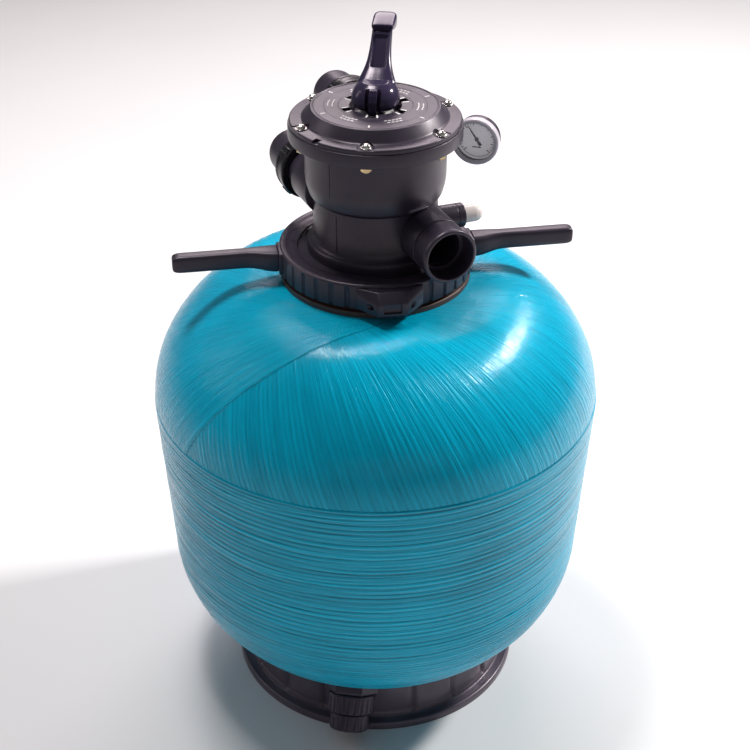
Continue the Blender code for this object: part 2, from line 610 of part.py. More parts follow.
# ---- ports, sight glass and gauge ---------------------------------------------------------
def make_ports():
    seam, face = RETURN_PORT["seam"] + GAP, RETURN_PORT["face"]
    adapter = [
        (0.0290, face), (0.0312, face - 0.0012), (0.0318, face - 0.0040), (0.0306, seam),
        (0.0216, seam), (0.0216, seam + 0.0070), (0.0255, seam + 0.0070), (0.0255, face - 0.0028),
        (0.0270, face)]
    turned("return_adapter", adapter, "black_abs", port_frame(RETURN_PORT), steps=24)
    for name, port in (("pump", PUMP_PORT), ("waste", WASTE_PORT)):
        here = port_frame(port, -1)
        near = port["nut"]
        far = near + UNION_NUT_L
        nut = [
            (0.0330, far), (UNION_NUT_R, far - 0.0020), (UNION_NUT_R, near + 0.0010), (0.0335, near),
            (0.0268, near), (0.0268, far - 0.0035), (TAIL_R + 0.0008, far - 0.0035),
            (TAIL_R + 0.0008, far)]
        ring = turned(f"{name}_union_nut", nut, "black_abs", here, steps=20)
        for i in range(4):
            lug = here @ Matrix.Rotation(math.radians(90 * i + 45), 4, "Z")
            join(ring, block(f"{name}_lug_{i}", (0.0300, -0.0035, near + 0.004),
                             (UNION_NUT_R + 0.0016, 0.0035, far - 0.004), where=lug))
        start = near + 0.0172
        tail = [
            (TAIL_R - 0.0015, far + TAIL_L), (TAIL_R, far + TAIL_L - 0.0015), (TAIL_R, start + 0.0036),
            (0.0264, start + 0.0036), (0.0264, start), (TAIL_BORE_R, start),
            (TAIL_BORE_R, far + TAIL_L)]
        turned(f"{name}_tailpiece", tail, "black_abs", here, steps=20)


def make_sight_glass():
    here = sight_frame()
    lens = [
        (0.0, 0.1170), (0.0040, 0.1162), (0.0073, 0.1138), (0.0093, 0.1102), (0.0098, 0.1065),
        (0.0098, 0.0760), (0.0082, 0.0760), (0.0082, 0.1065), (0.0060, 0.1115), (0.0, 0.1150)]
    turned("sight_glass_lens", lens, "clear_lens", here, steps=16, closed=False)
    nut = [(0.0128, 0.0935), (0.0139, 0.0920), (0.0139, 0.0848), (0.0102, 0.0848), (0.0102, 0.0935)]
    turned("sight_glass_nut", nut, "black_abs", here, steps=16)


def make_gauge():
    here = gauge_frame()
    case = [
        (0.0, -0.0155), (0.0243, -0.0155), (0.0243, 0.0015), (0.0255, 0.0015), (0.0255, -0.0160),
        (0.0235, -0.0180), (0.0, -0.0180)]
    turned("gauge_case", case, "black_abs", here, steps=20, closed=False)
    bezel = [
        (0.0258, 0.0040), (0.0272, 0.0028), (0.0272, -0.0050), (0.0258, -0.0050),
        (0.0258, 0.0018), (0.0222, 0.0018), (0.0222, 0.0034)]
    turned("gauge_bezel", bezel, "black_abs", here, steps=20)
    rod("gauge_dial", 0.0240, -0.0080, -0.0068, "dial_white", here, sides=20)
    rod("gauge_lens", 0.0240, -0.0004, 0.0014, "clear_lens", here, sides=20)
    needle = rod("gauge_needle", 0.0022, -0.0065, -0.0040, "rubber", here, sides=10)
    swing = here @ Matrix.Rotation(math.radians(35), 4, "Z")
    blade = [(-0.0022, -0.0080), (0.0022, -0.0080), (0.0004, 0.0185), (-0.0004, 0.0185)]
    rings = [[(x, y, z) for x, y in blade] for z in (-0.0052, -0.0042)]
    join(needle, loft("needle_blade", rings, where=swing))
    stem = gauge_stem_frame()
    hexagon = rod("gauge_stem", 0.0075, 0.0275, 0.0382, "brass", stem, sides=6)
    join(hexagon, rod("stem_thread", 0.0046, 0.0380, 0.0560, where=stem, sides=12))


# ---- inside the tank -----------------------------------------------------------------------
def make_internals():
    pipe = [(0.0243, 0.5960), (0.0243, 0.1000), (0.0218, 0.1000), (0.0218, 0.5960)]
    turned("standpipe", pipe, "white_pvc", steps=20)
    hub = [
        (0.0340, 0.1100), (0.0340, 0.0620), (0.0, 0.0620), (0.0, 0.0660), (0.0200, 0.0660),
        (0.0200, 0.0980), (0.0247, 0.0980), (0.0247, 0.1100)]
    body = turned("lateral_hub", [hub[3], hub[4], hub[5], hub[6], hub[7]] + hub[:3], "grey_abs",
                  steps=20, closed=False)
    for i in range(LATERALS):
        azimuth = 30 + 360 / LATERALS * i
        where = frame_at(Vector((0, 0, LATERAL_Z)), direction(azimuth))
        cut(body, rod(f"hub_socket_{i}", 0.0085, 0.010, 0.050, where=where, sides=8))
        lateral = [
            (0.0, 0.1550), (0.0070, 0.1550), (0.0095, 0.1520), (0.0095, 0.0345), (0.0080, 0.0345),
            (0.0080, 0.0240), (0.0050, 0.0240), (0.0050, 0.1500), (0.0, 0.1500)]
        turned(f"lateral_{i + 1}", lateral, "white_pvc", where, steps=8, closed=False)
    basket = [
        (0.0590, 0.5640), (0.0590, 0.5400), (0.0700, 0.5360), (0.0700, 0.4980), (0.0640, 0.4900),
        (0.0250, 0.4900), (0.0250, 0.4930), (0.0630, 0.4930), (0.0670, 0.4990), (0.0670, 0.5340),
        (0.0565, 0.5380), (0.0565, 0.5640)]
    diffuser = turned("top_diffuser", basket, "white_pvc", steps=16)
    for i in range(4):
        where = Matrix.Rotation(math.radians(90 * i), 4, "Z")
        cut(diffuser, block(f"diffuser_slot_{i}", (0.050, -0.022, 0.506), (0.090, 0.022, 0.526),
                            where=where))


make_tank()
make_base()
make_drain()
make_neck()
make_collar()
make_handle("collar_handle_right", HANDLE_AZ)
make_handle("collar_handle_left", HANDLE_AZ - 180)
make_valve_body()
make_cover()
make_bolts()
make_rotor()
make_lever()
make_ports()
make_sight_glass()
make_gauge()
make_internals()
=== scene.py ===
"""Looks of the sand filter tank: wound laminate, moulded plastics, lever, gauge and drain.

Metres, +Z up. An azimuth is measured from the front (-Y) towards the right (+X).
"""
import json
import math

import bmesh
import bpy
import numpy as np
from mathutils import Matrix, Vector


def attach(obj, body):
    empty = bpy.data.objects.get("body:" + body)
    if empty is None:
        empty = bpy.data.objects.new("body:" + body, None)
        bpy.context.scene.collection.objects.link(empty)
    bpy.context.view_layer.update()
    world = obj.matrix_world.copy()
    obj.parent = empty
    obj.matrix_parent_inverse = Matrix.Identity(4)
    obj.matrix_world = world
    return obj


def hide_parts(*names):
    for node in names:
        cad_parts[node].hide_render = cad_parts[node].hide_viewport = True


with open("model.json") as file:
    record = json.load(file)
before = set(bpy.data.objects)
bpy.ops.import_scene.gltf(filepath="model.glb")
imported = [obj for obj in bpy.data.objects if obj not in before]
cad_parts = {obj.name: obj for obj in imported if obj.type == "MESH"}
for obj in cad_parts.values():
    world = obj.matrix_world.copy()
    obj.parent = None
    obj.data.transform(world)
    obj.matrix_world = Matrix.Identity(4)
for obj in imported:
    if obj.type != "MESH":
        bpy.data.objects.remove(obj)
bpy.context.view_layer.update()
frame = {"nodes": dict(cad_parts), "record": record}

UP = Vector((0, 0, 1))
TURN = 2 * math.pi

# ---- sizes shared with the frame ----------------------------------------------------------
TANK_R = 0.2635
SIDE_TOP_Z, SIDE_LOW_Z, SIDE_TAPER = 0.3994, 0.2037, 0.060
DOME_H, CROWN_H = 0.1855, 0.1505
LOWER_H, LOWER_POWER = 0.1850, 2.05
NECK_R = 0.0905
PORT_AZ, BOLT_AZ, LEVER_AZ, LUG_AZ = 24.0, -6.5, -7.5, 8.5
HANDLE_AZ = dict(right=99.5, left=-80.5)
BOLT_CIRCLE_R, BOLT_HEAD_Z = 0.0870, 0.7400
LEVER_LEAN, LEVER_ARM, PIN_Z = 46.0, 0.0825, 0.7600
GAUGE_AZ, GAUGE_C = -18.0, Vector((0.1118, 0.0260, 0.7000))
SIGHT_AZ, SIGHT_Z, SIGHT_OFFSET = 109.0, 0.6220, 0.0317
DRAIN_AZ, DRAIN_SLOPE, DRAIN_END = -9.5, 56.0, (0.2015, 0.0185)
RETURN_PORT = dict(right=0.0285, z=0.6250)
PUMP_PORT = dict(right=-0.0470, z=0.6525, stub=0.0650, nut=0.0795)
WASTE_PORT = dict(right=0.0280, z=0.6985, stub=0.1130, nut=0.1240)
BOLT_NUTS = (1, 2, 3, 5, 6)


# ---- node helpers --------------------------------------------------------------------------
class Nodes:
    """A new material's node tree, with short calls for the nodes used here."""

    def __init__(self, name):
        self.material = bpy.data.materials.new(name)
        self.material.use_nodes = True
        self.tree = self.material.node_tree
        self.shader = self.tree.nodes["Principled BSDF"]

    def add(self, kind, inputs=None, **settings):
        node = self.tree.nodes.new(kind)
        for key, value in settings.items():
            setattr(node, key, value)
        for key, value in (inputs or {}).items():
            self.set(node, key, value)
        return node

    def set(self, node, key, value):
        if isinstance(value, bpy.types.NodeSocket):
            self.tree.links.new(value, node.inputs[key])
        else:
            node.inputs[key].default_value = value

    def principled(self, **inputs):
        for key, value in inputs.items():
            self.set(self.shader, key.replace("_", " "), value)

    def noise(self, vector, scale, detail=3.0, roughness=0.5):
        node = self.add("ShaderNodeTexNoise", {"Vector": vector, "Scale": scale, "Detail": detail,
                                               "Roughness": roughness})
        return node.outputs["Fac"]

    def ramp(self, factor, stops):
        node = self.add("ShaderNodeValToRGB", {"Fac": factor})
        ramp = node.color_ramp
        while len(ramp.elements) < len(stops):
            ramp.elements.new(0.5)
        for element, (position, color) in zip(ramp.elements, stops):
            element.position = position
            element.color = (*color, 1.0)
        return node.outputs["Color"]

    def maths(self, operation, a, b=0.0):
        node = self.add("ShaderNodeMath", operation=operation)
        self.set(node, 0, a)
        self.set(node, 1, b)
        return node.outputs["Value"]

    def weighted(self, *parts):
        """Sum of value * weight over (value, weight) pairs."""
        total = 0.0
        for value, weight in parts:
            total = self.maths("ADD", self.maths("MULTIPLY", value, weight), total)
        return total

    def remap(self, value, low, high, from_low=0.0, from_high=1.0):
        node = self.add("ShaderNodeMapRange", {"Value": value, "From Min": from_low,
                                               "From Max": from_high, "To Min": low,
                                               "To Max": high})
        return node.outputs["Result"]

    def bump(self, height, distance, strength=1.0, normal=None):
        node = self.add("ShaderNodeBump", {"Height": height, "Distance": distance,
                                           "Strength": strength})
        if normal is not None:
            self.set(node, "Normal", normal)
        return node.outputs["Normal"]

    def object_coords(self):
        return self.add("ShaderNodeTexCoord").outputs["Object"]


def tint(color, factor):
    return tuple(min(channel * factor, 1.0) for channel in color)


def moulded(name, color, roughness=0.42, grain=0.00004, mottle=0.18, edge=0.0010, shine=0.5,
            painted_glow=0.0):
    """Moulded plastic: fine skin grain, faint flow mottling, soft moulded edges and an optional
    painted glow, an emission that lights the surface though it is no lamp.
    """
    n = Nodes(name)
    coords = n.object_coords()
    cloud = n.noise(coords, 22.0, 4.0)
    speck = n.noise(coords, 1500.0, 2.0)
    shades = [(0.30, tint(color, 1 - mottle)), (0.70, tint(color, 1 + mottle))]
    n.principled(
        Base_Color=n.ramp(cloud, shades),
        Roughness=n.remap(n.noise(coords, 60.0, 5.0), roughness - 0.06, roughness + 0.08),
        Specular_IOR_Level=shine, Specular_Tint=(1.0, 0.90, 0.97, 1.0))
    soft = n.add("ShaderNodeBevel", {"Radius": edge}, samples=4).outputs["Normal"]
    n.principled(Normal=n.bump(speck, grain, 0.6, soft))
    # Painted light: the emission brightens the surface though it is no lamp.
    if painted_glow:
        n.principled(Emission_Color=(1.0, 0.95, 1.0, 1.0), Emission_Strength=painted_glow)
    return n.material


def metal(name, color, roughness):
    """Polished metal with fine turning marks."""
    n = Nodes(name)
    coords = n.object_coords()
    marks = n.noise(coords, 900.0, 3.0)
    n.principled(Base_Color=(*color, 1.0), Metallic=1.0,
                 Roughness=n.remap(marks, roughness - 0.05, roughness + 0.08),
                 Normal=n.bump(marks, 0.00002, 0.5))
    return n.material


def laminate():
    """Glass fibre under glossy cyan resin. The UV map runs across and along the fibres."""
    n = Nodes("wound_laminate")
    uv = n.add("ShaderNodeUVMap", uv_map="fibre").outputs["UV"]
    ridge = n.add("ShaderNodeAttribute", attribute_name="ridge").outputs["Fac"]

    def strands(across, along):
        stretched = n.add("ShaderNodeMapping", {"Vector": uv, "Scale": (across, along, 1.0)})
        return n.noise(stretched.outputs["Vector"], 1.0, 2.0, 0.6)

    hair, thread, bundle = strands(300.0, 5.0), strands(120.0, 2.5), strands(42.0, 1.2)
    cloud = n.noise(n.object_coords(), 6.0)
    # Colour follows the fibre ridges, darker in the valleys and lighter on the crests: partly the
    # resin lying deeper in the valleys, partly painted shade between the bundles.
    mix = n.weighted((ridge, 0.44), (thread, 0.26), (bundle, 0.14), (cloud, 0.22))
    color = n.ramp(n.remap(mix, 0.0, 1.0, 0.33, 0.78),
                   [(0.00, (0.000, 0.110, 0.170)), (0.30, (0.000, 0.300, 0.465)),
                    (0.60, (0.000, 0.410, 0.620)), (1.00, (0.000, 0.530, 0.780))])
    height = n.weighted((hair, 0.35), (thread, 1.0), (bundle, 0.9))
    n.principled(
        Base_Color=color, Roughness=n.remap(hair, 0.17, 0.36), Specular_IOR_Level=0.16,
        Specular_Tint=(0.15, 0.80, 1.0, 1.0), Coat_Weight=0.42, Coat_Roughness=0.085,
        Coat_IOR=1.40)
    n.principled(Normal=n.bump(height, 0.0008), Coat_Normal=n.bump(height, 0.00040))
    return n.material


def clear(name, color, roughness, cover):
    """Clear plastic as a thin glossy film, so that what lies behind it stays lit."""
    n = Nodes(name)
    n.principled(Base_Color=(*color, 1.0), Roughness=roughness, Alpha=cover)
    return n.material


CHARCOAL = (0.0290, 0.0225, 0.0380)
LOOKS = {
    "laminate": laminate(),
    "black_plastic": moulded("charcoal_plastic", CHARCOAL, 0.36),
    # The base plastic is lighter than the charcoal: painted sheen and light for the foot's wall,
    # which lies in the tank's shade.
    "base_plastic": moulded("base_plastic", (0.0950, 0.0750, 0.0980), 0.30),
    "neck_plastic": moulded("neck_plastic", (0.085, 0.048, 0.036), 0.42),
    "lever_plastic": moulded("polished_plastic", (0.0320, 0.0245, 0.0560), 0.18, grain=0.00001,
                             mottle=0.10, edge=0.0008, shine=0.28),
    "bolt_steel": metal("polished_steel", (0.72, 0.69, 0.66), 0.20),
    "nut_brass": metal("bright_brass", (0.72, 0.55, 0.30), 0.26),
    "seal_rubber": moulded("seal_rubber", (0.014, 0.014, 0.015), 0.70),
    "inner_plastic": moulded("white_plastic", (0.72, 0.72, 0.69), 0.45, mottle=0.05),
    "rotor_plastic": moulded("grey_plastic", (0.12, 0.12, 0.125), 0.45),
    # The dial face has a painted glow: its emission lights the dial, which sits shaded in its cup,
    # though it is no lamp.
    "dial_face": moulded("dial_face", (0.92, 0.89, 0.92), 0.50, mottle=0.01, painted_glow=0.20),
    "clear_window": clear("clear_window", (0.97, 0.95, 0.98), 0.05, 0.13),
}
MILKY = moulded("milky_window", (0.86, 0.78, 0.75), 0.12, grain=0.00001, mottle=0.04)
BLACK_RING = moulded("union_black", (0.005, 0.0055, 0.008), 0.26)
RIM_GREY = moulded("rim_grey", (0.60, 0.56, 0.62), 0.20, mottle=0.08)
MARK_WHITE = moulded("mark_white", (0.78, 0.76, 0.76), 0.55, mottle=0.03)


# ---- shape helpers -------------------------------------------------------------------------
def direction(azimuth, slope=0.0):
    """Unit vector at an azimuth, pointing down by slope degrees."""
    a, s = math.radians(azimuth), math.radians(slope)
    return Vector((math.sin(a) * math.cos(s), -math.cos(a) * math.cos(s), -math.sin(s)))


def frame_at(origin, axis):
    """Local axes at a point, with Z along the axis and X level."""
    z = Vector(axis).normalized()
    x = UP.cross(z).normalized()
    return Matrix.Translation(origin) @ Matrix((x, z.cross(x), z)).transposed().to_4x4()


def about_z(azimuth):
    return Matrix.Rotation(math.radians(azimuth), 4, "Z")


def soften(outline, closed, steps=4):
    """Round each (radius, height, fillet) corner; a corner with no third value stays sharp."""
    out, count = [], len(outline)
    for i, point in enumerate(outline):
        here = Vector(point[:2])
        fillet = point[2] if len(point) > 2 else 0.0
        if fillet <= 0 or (not closed and i in (0, count - 1)):
            out.append(here)
            continue
        before = Vector(outline[i - 1][:2]) - here
        after = Vector(outline[(i + 1) % count][:2]) - here
        reach = min(fillet, 0.48 * before.length, 0.48 * after.length)
        a, b = here + before.normalized() * reach, here + after.normalized() * reach
        for k in range(steps + 1):
            t = k / steps
            out.append(a * (1 - t) ** 2 + here * 2 * t * (1 - t) + b * t ** 2)
    return out


def to_object(name, bm, where=None):
    """New object from a bmesh, with its points moved by the matrix where."""
    mesh = bpy.data.meshes.new(name)
    bmesh.ops.recalc_face_normals(bm, faces=bm.faces)
    if where is not None:
        bm.transform(where)
    bm.to_mesh(mesh)
    bm.free()
    obj = bpy.data.objects.new(name, mesh)
    bpy.context.scene.collection.objects.link(obj)
    return obj


def lathe(name, outline, where=None, steps=128, closed=True, shape=None):
    """Turn an outline about local Z. shape(angle, radius, height) may move each point."""
    points = soften(outline, closed)
    bm = bmesh.new()
    rows = []
    for radius, height in points:
        if radius < 1e-6:
            rows.append([bm.verts.new((0, 0, height))])
            continue
        row = []
        for i in range(steps):
            a = TURN * i / steps
            r, h = shape(a, radius, height) if shape else (radius, height)
            row.append(bm.verts.new((r * math.cos(a), r * math.sin(a), h)))
        rows.append(row)
    for upper, lower in zip(rows, rows[1:] + rows[:1] if closed else rows[1:]):
        for i in range(steps):
            j = (i + 1) % steps
            if len(upper) == 1 and len(lower) == 1:
                continue
            if len(upper) == 1:
                bm.faces.new((upper[0], lower[i], lower[j]))
            elif len(lower) == 1:
                bm.faces.new((upper[i], lower[0], upper[j]))
            else:
                bm.faces.new((upper[i], lower[i], lower[j], upper[j]))
    return to_object(name, bm, where)


def rod(name, radius, start, end, where=None, sides=64, edge=0.0):
    """Round bar along local Z, with an optional fillet."""
    outline = [(0.0, end), (radius, end, edge), (radius, start, edge), (0.0, start)]
    return lathe(name, outline, where, sides, closed=False)


def block(name, low, high, where=None, edge=0.0):
    """Box between two corners, with optional rounded edges."""
    bm = bmesh.new()
    bmesh.ops.create_cube(bm, size=1.0)
    low, high = Vector(low), Vector(high)
    bmesh.ops.scale(bm, verts=bm.verts, vec=high - low)
    bmesh.ops.translate(bm, verts=bm.verts, vec=(low + high) / 2)
    if edge:
        bmesh.ops.bevel(bm, geom=bm.edges[:], offset=edge, segments=3, affect="EDGES",
                        profile=0.5)
    return to_object(name, bm, where)


def loft(name, rings, where=None):
    """Solid through rings of points, all with the same number of points."""
    bm = bmesh.new()
    rows = [[bm.verts.new(p) for p in ring] for ring in rings]
    count = len(rows[0])
    for lower, upper in zip(rows, rows[1:]):
        for i in range(count):
            j = (i + 1) % count
            bm.faces.new((lower[i], lower[j], upper[j], upper[i]))
    bm.faces.new(list(reversed(rows[0])))
    bm.faces.new(rows[-1])
    return to_object(name, bm, where)


def rounded_section(half_w, half_h, power, count=48):
    """Superellipse: an ellipse at power 2, and closer to a rectangle at higher powers."""
    points = []
    for i in range(count):
        a = TURN * (i + 0.5) / count
        c, s = math.cos(a), math.sin(a)
        points.append((math.copysign(abs(c) ** (2 / power), c) * half_w,
                       math.copysign(abs(s) ** (2 / power), s) * half_h))
    return points


def smooth_stations(stations, count):
    """Resample a list of station tuples along a smooth curve through them."""
    keys = np.array(stations, float)
    slopes = np.gradient(keys, axis=0)
    out = []
    for at in np.linspace(0, len(keys) - 1, count):
        i = min(int(at), len(keys) - 2)
        u = at - i
        h = (2 * u**3 - 3 * u**2 + 1, u**3 - 2 * u**2 + u, -2 * u**3 + 3 * u**2, u**3 - u**2)
        out.append(h[0] * keys[i] + h[1] * slopes[i] + h[2] * keys[i + 1] + h[3] * slopes[i + 1])
    return out


def apply_modifiers(obj):
    graph = bpy.context.evaluated_depsgraph_get()
    mesh = bpy.data.meshes.new_from_object(obj.evaluated_get(graph))
    obj.modifiers.clear()
    obj.data = mesh


def combine(obj, operation, *others):
    """Boolean obj with others, which are used up."""
    for other in others:
        mod = obj.modifiers.new("boolean", "BOOLEAN")
        mod.operation = operation
        mod.object = other
        mod.solver = "EXACT"
    apply_modifiers(obj)
    for other in others:
        bpy.data.objects.remove(other, do_unlink=True)


def join(obj, *others):
    combine(obj, "UNION", *others)


def cut(obj, *others):
    combine(obj, "DIFFERENCE", *others)


def blend_surface(obj, voxel, rounds=4):
    """Fuse a mesh's shapes into one skin with soft inner corners."""
    mod = obj.modifiers.new("fuse", "REMESH")
    mod.mode = "VOXEL"
    mod.voxel_size = voxel
    mod.use_smooth_shade = True
    soft = obj.modifiers.new("soft", "SMOOTH")
    soft.factor = 0.5
    soft.iterations = rounds
    apply_modifiers(obj)


def piece(obj, body, slot, *replaced, look=None, angle=32.0):
    """Finish a visible piece: material, shading, the body it rides on and what it replaces."""
    obj.data.materials.clear()
    obj.data.materials.append(look or LOOKS[slot])
    obj.data.shade_smooth()
    obj.data.set_sharp_from_angle(angle=math.radians(angle))
    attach(obj, body)
    if replaced:
        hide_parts(*replaced)


def joined(name, objects):
    """Several separate shapes as one mesh object, such as a set of marks."""
    bm = bmesh.new()
    for obj in objects:
        bm.from_mesh(obj.data)
    for obj in objects:
        bpy.data.objects.remove(obj, do_unlink=True)
    mesh = bpy.data.meshes.new(name)
    bm.to_mesh(mesh)
    bm.free()
    out = bpy.data.objects.new(name, mesh)
    bpy.context.scene.collection.objects.link(out)
    return out


# ---- tank ----------------------------------------------------------------------------------
RNG = np.random.default_rng(7)  # the order of the draws below sets the fibre pattern


class Strands:
    """Smooth random values along one coordinate, with a period in cells."""

    def __init__(self, cells):
        self.values = RNG.random(cells)
        self.cells = cells

    def at(self, x):
        cell = np.floor(x).astype(int)
        f = x - cell
        f = f * f * (3 - 2 * f)
        low = self.values[cell % self.cells]
        high = self.values[(cell + 1) % self.cells]
        return low * (1 - f) + high * f


class Bundles:
    """Round-topped bundles of fibre side by side, each with its own height."""

    def __init__(self, cells):
        self.heights = 0.45 + 0.55 * RNG.random(cells)
        self.cells = cells

    def at(self, x):
        cell = np.floor(x).astype(int)
        f = x - cell
        return self.heights[cell % self.cells] * (1 - np.abs(2 * f - 1) ** 2.4)


def dome_z(radius):
    """Height of the upper dome: an ellipse whose top is flattened at the crown."""
    rise = DOME_H * np.sqrt(np.maximum(1 - (radius / TANK_R) ** 2, 0))
    return SIDE_TOP_Z + rise / (1 + (rise / CROWN_H) ** 20) ** (1 / 20)


def even_along(r, z, count):
    """Points at even distances along a curve, with their distance from its start."""
    s = np.concatenate(([0], np.cumsum(np.hypot(np.diff(r), np.diff(z)))))
    at = np.linspace(0, s[-1], count)
    return np.interp(at, s, r), np.interp(at, s, z), at


def sheet_of_revolution(name, r, z, azimuth, lift, ridge):
    """Open skin from rows of r and z, lifted along the normal, with ridge values and a UV map."""
    rows, cols = lift.shape
    dr, dz = np.gradient(r), np.gradient(z)
    length = np.hypot(dr, dz)
    out_r, out_z = -dz / length, dr / length
    radius = r[:, None] + out_r[:, None] * lift
    height = z[:, None] + out_z[:, None] * lift
    x, y = radius * np.sin(azimuth), -radius * np.cos(azimuth)
    co = np.stack([x, y, height], -1).reshape(-1, 3)
    i, j = np.meshgrid(np.arange(rows - 1), np.arange(cols), indexing="ij")
    k = (j + 1) % cols
    quads = np.stack([i * cols + j, (i + 1) * cols + j, (i + 1) * cols + k, i * cols + k], -1)
    mesh = bpy.data.meshes.new(name)
    mesh.from_pydata(co.tolist(), [], quads.reshape(-1, 4).tolist())
    mesh.uv_layers.new(name="fibre")
    attribute = mesh.attributes.new("ridge", "FLOAT", "POINT")
    attribute.data.foreach_set("value", ridge.astype(np.float32).ravel())
    obj = bpy.data.objects.new(name, mesh)
    bpy.context.scene.collection.objects.link(obj)
    return obj


def side_r(z):
    """Radius of the tapering side at a height."""
    return TANK_R - SIDE_TAPER * (SIDE_TOP_Z - z)


def grid_of(mesh, cols):
    """The row and column of the vertex at each corner of a sheet's faces."""
    index = np.zeros(len(mesh.loops), int)
    mesh.loops.foreach_get("vertex_index", index)
    return index // cols, index % cols


def set_fibre_uv(mesh, across, along):
    """Fill the UV map with one coordinate across the fibres and one along them."""
    layer = mesh.uv_layers["fibre"]
    layer.data.foreach_set("uv", np.stack([across, along], -1).astype(np.float32).ravel())


def make_dome():
    """Crown and dome. Helical fibre bands leave the neck at a tangent, and two bands cross."""
    rows, cols, low_z, bundle_count = 120, 960, 0.392, 236
    shoulder_r, crossing_r, band_width = 0.250, 0.170, math.radians(118)
    edge_angle = np.linspace(math.asin(shoulder_r / TANK_R), math.pi / 2, 200)
    radius = np.concatenate((np.linspace(NECK_R + 0.0004, shoulder_r, 400),
                             TANK_R * np.sin(edge_angle)))
    r, z, s = even_along(np.append(radius, side_r(low_z)), np.append(dome_z(radius), low_z), rows)

    # A fibre on a dome comes no nearer to the axis than its turning radius.
    turning_r = NECK_R * 0.985
    rate = turning_r / (r * np.sqrt(np.maximum(r ** 2 - turning_r ** 2, 1e-7)))
    sweep = np.concatenate(([0], np.cumsum((rate[1:] + rate[:-1]) / 2 * np.diff(s))))
    azimuth = (np.arange(cols) / cols * TURN - math.pi)[None, :]
    right_lay = azimuth - sweep[:, None]
    left_lay = azimuth + 1.6 * sweep[:, None]

    # The top band's edge crosses azimuth -22 at crossing_r, and its fibres lean the other way.
    edge = math.radians(-22.0) + 1.6 * np.interp(crossing_r, r, sweep)
    inside = np.mod(edge - left_lay, TURN)
    on_top = (inside < band_width).astype(float)
    lip = np.exp(-(np.minimum(inside, TURN - inside) / 0.012) ** 2)
    lay = np.where(on_top > 0, left_lay + 1.0, right_lay)

    phase = np.mod(lay, TURN) / TURN
    bundles = Bundles(bundle_count)
    ridge = bundles.at(phase * bundle_count + 0.25 * Strands(40).at(phase * 40))
    fade = np.clip((r - NECK_R) / 0.04, 0.20, 1)[:, None]
    fade = fade * np.clip(1.2 - (z[:, None] - 0.4) * 2.4, 0.5, 1)
    lift = 0.00055 * ridge * fade + 0.0002 * on_top + 0.0001 * lip
    # These ridge values also set the colour: partly resin depth, partly painted shade between the
    # bundles.
    ridge = 0.62 + 0.36 * (ridge - 0.62) * fade
    obj = sheet_of_revolution("tank_dome", r, z, azimuth, lift, ridge)
    row, col = grid_of(obj.data, cols)
    past_seam = (col == 0) & (np.roll(col.reshape(-1, 4), 2, axis=1).ravel() == cols - 1)
    set_fibre_uv(obj.data, lay[row, col] + TURN * past_seam, s[row] * 10)
    piece(obj, "tank", "laminate", "tank_shell", angle=60)


def make_hoops():
    """Side and bottom: near-level hoop windings in two layers that cross at a small angle."""
    cols, hidden_z, hoop_width = 280, 0.060, 0.0052
    top = SIDE_TOP_Z + 0.0025
    z_side = np.linspace(top, SIDE_LOW_Z, 60)
    t = np.linspace(0, math.pi / 2 - 0.02, 200)[1:]
    power = 2 / LOWER_POWER
    r = np.concatenate((side_r(z_side), side_r(SIDE_LOW_Z) * np.cos(t) ** power))
    z = np.concatenate((z_side, SIDE_LOW_Z - LOWER_H * np.sin(t) ** power))
    low = np.searchsorted(-z, -hidden_z)  # below this the foot hides the tank: fewer rows
    r1, z1, s1 = even_along(r[:low], z[:low], 400)
    r2, z2, s2 = even_along(r[low - 1:], z[low - 1:], 22)
    r, z = np.concatenate((r1, r2[1:])), np.concatenate((z1, z2[1:]))
    s = np.concatenate((s1, s1[-1] + s2[1:]))

    azimuth = (np.arange(cols) / cols * TURN - math.pi)[None, :]
    down = s[:, None]
    drift = Strands(64).at(azimuth * 24 / TURN + 40)
    tilt_a = 0.0035 * np.sin(azimuth + 0.6) + 0.0010 * np.sin(3 * azimuth + 1.0) + 0.0012 * drift
    tilt_b = -0.0045 * np.sin(azimuth - 0.5) + 0.0014 * np.sin(2 * azimuth) - 0.0010 * drift
    patch = Strands(64).at(azimuth * 12 / TURN + down / 0.045 + 40)
    layer_a = Bundles(97).at((down + tilt_a) / hoop_width + 300)
    layer_b = Bundles(83).at((down + tilt_b) / 0.0071 + 100)
    ridge = np.where(patch > 0.5, 0.75 * layer_a + 0.25 * layer_b, 0.35 * layer_a + 0.65 * layer_b)
    ridge = 0.5 * ridge + 0.5 * (patch * layer_a + (1 - patch) * layer_b)
    fade = np.clip((z[:, None] - 0.052) / 0.05, 0.05, 1)
    lift = 0.00125 * ridge * fade + 0.0007
    lift[0, :] = -0.0004
    lift[1, :] = 0.0006
    obj = sheet_of_revolution("tank_hoops", r, z, azimuth, lift, ridge)
    row, col = grid_of(obj.data, cols)
    there_and_back = np.abs((col / cols + 0.2) % 1.0 - 0.5) * 2
    set_fibre_uv(obj.data, s[row] * 4.0, there_and_back * 3.0)
    piece(obj, "tank", "laminate", angle=60)


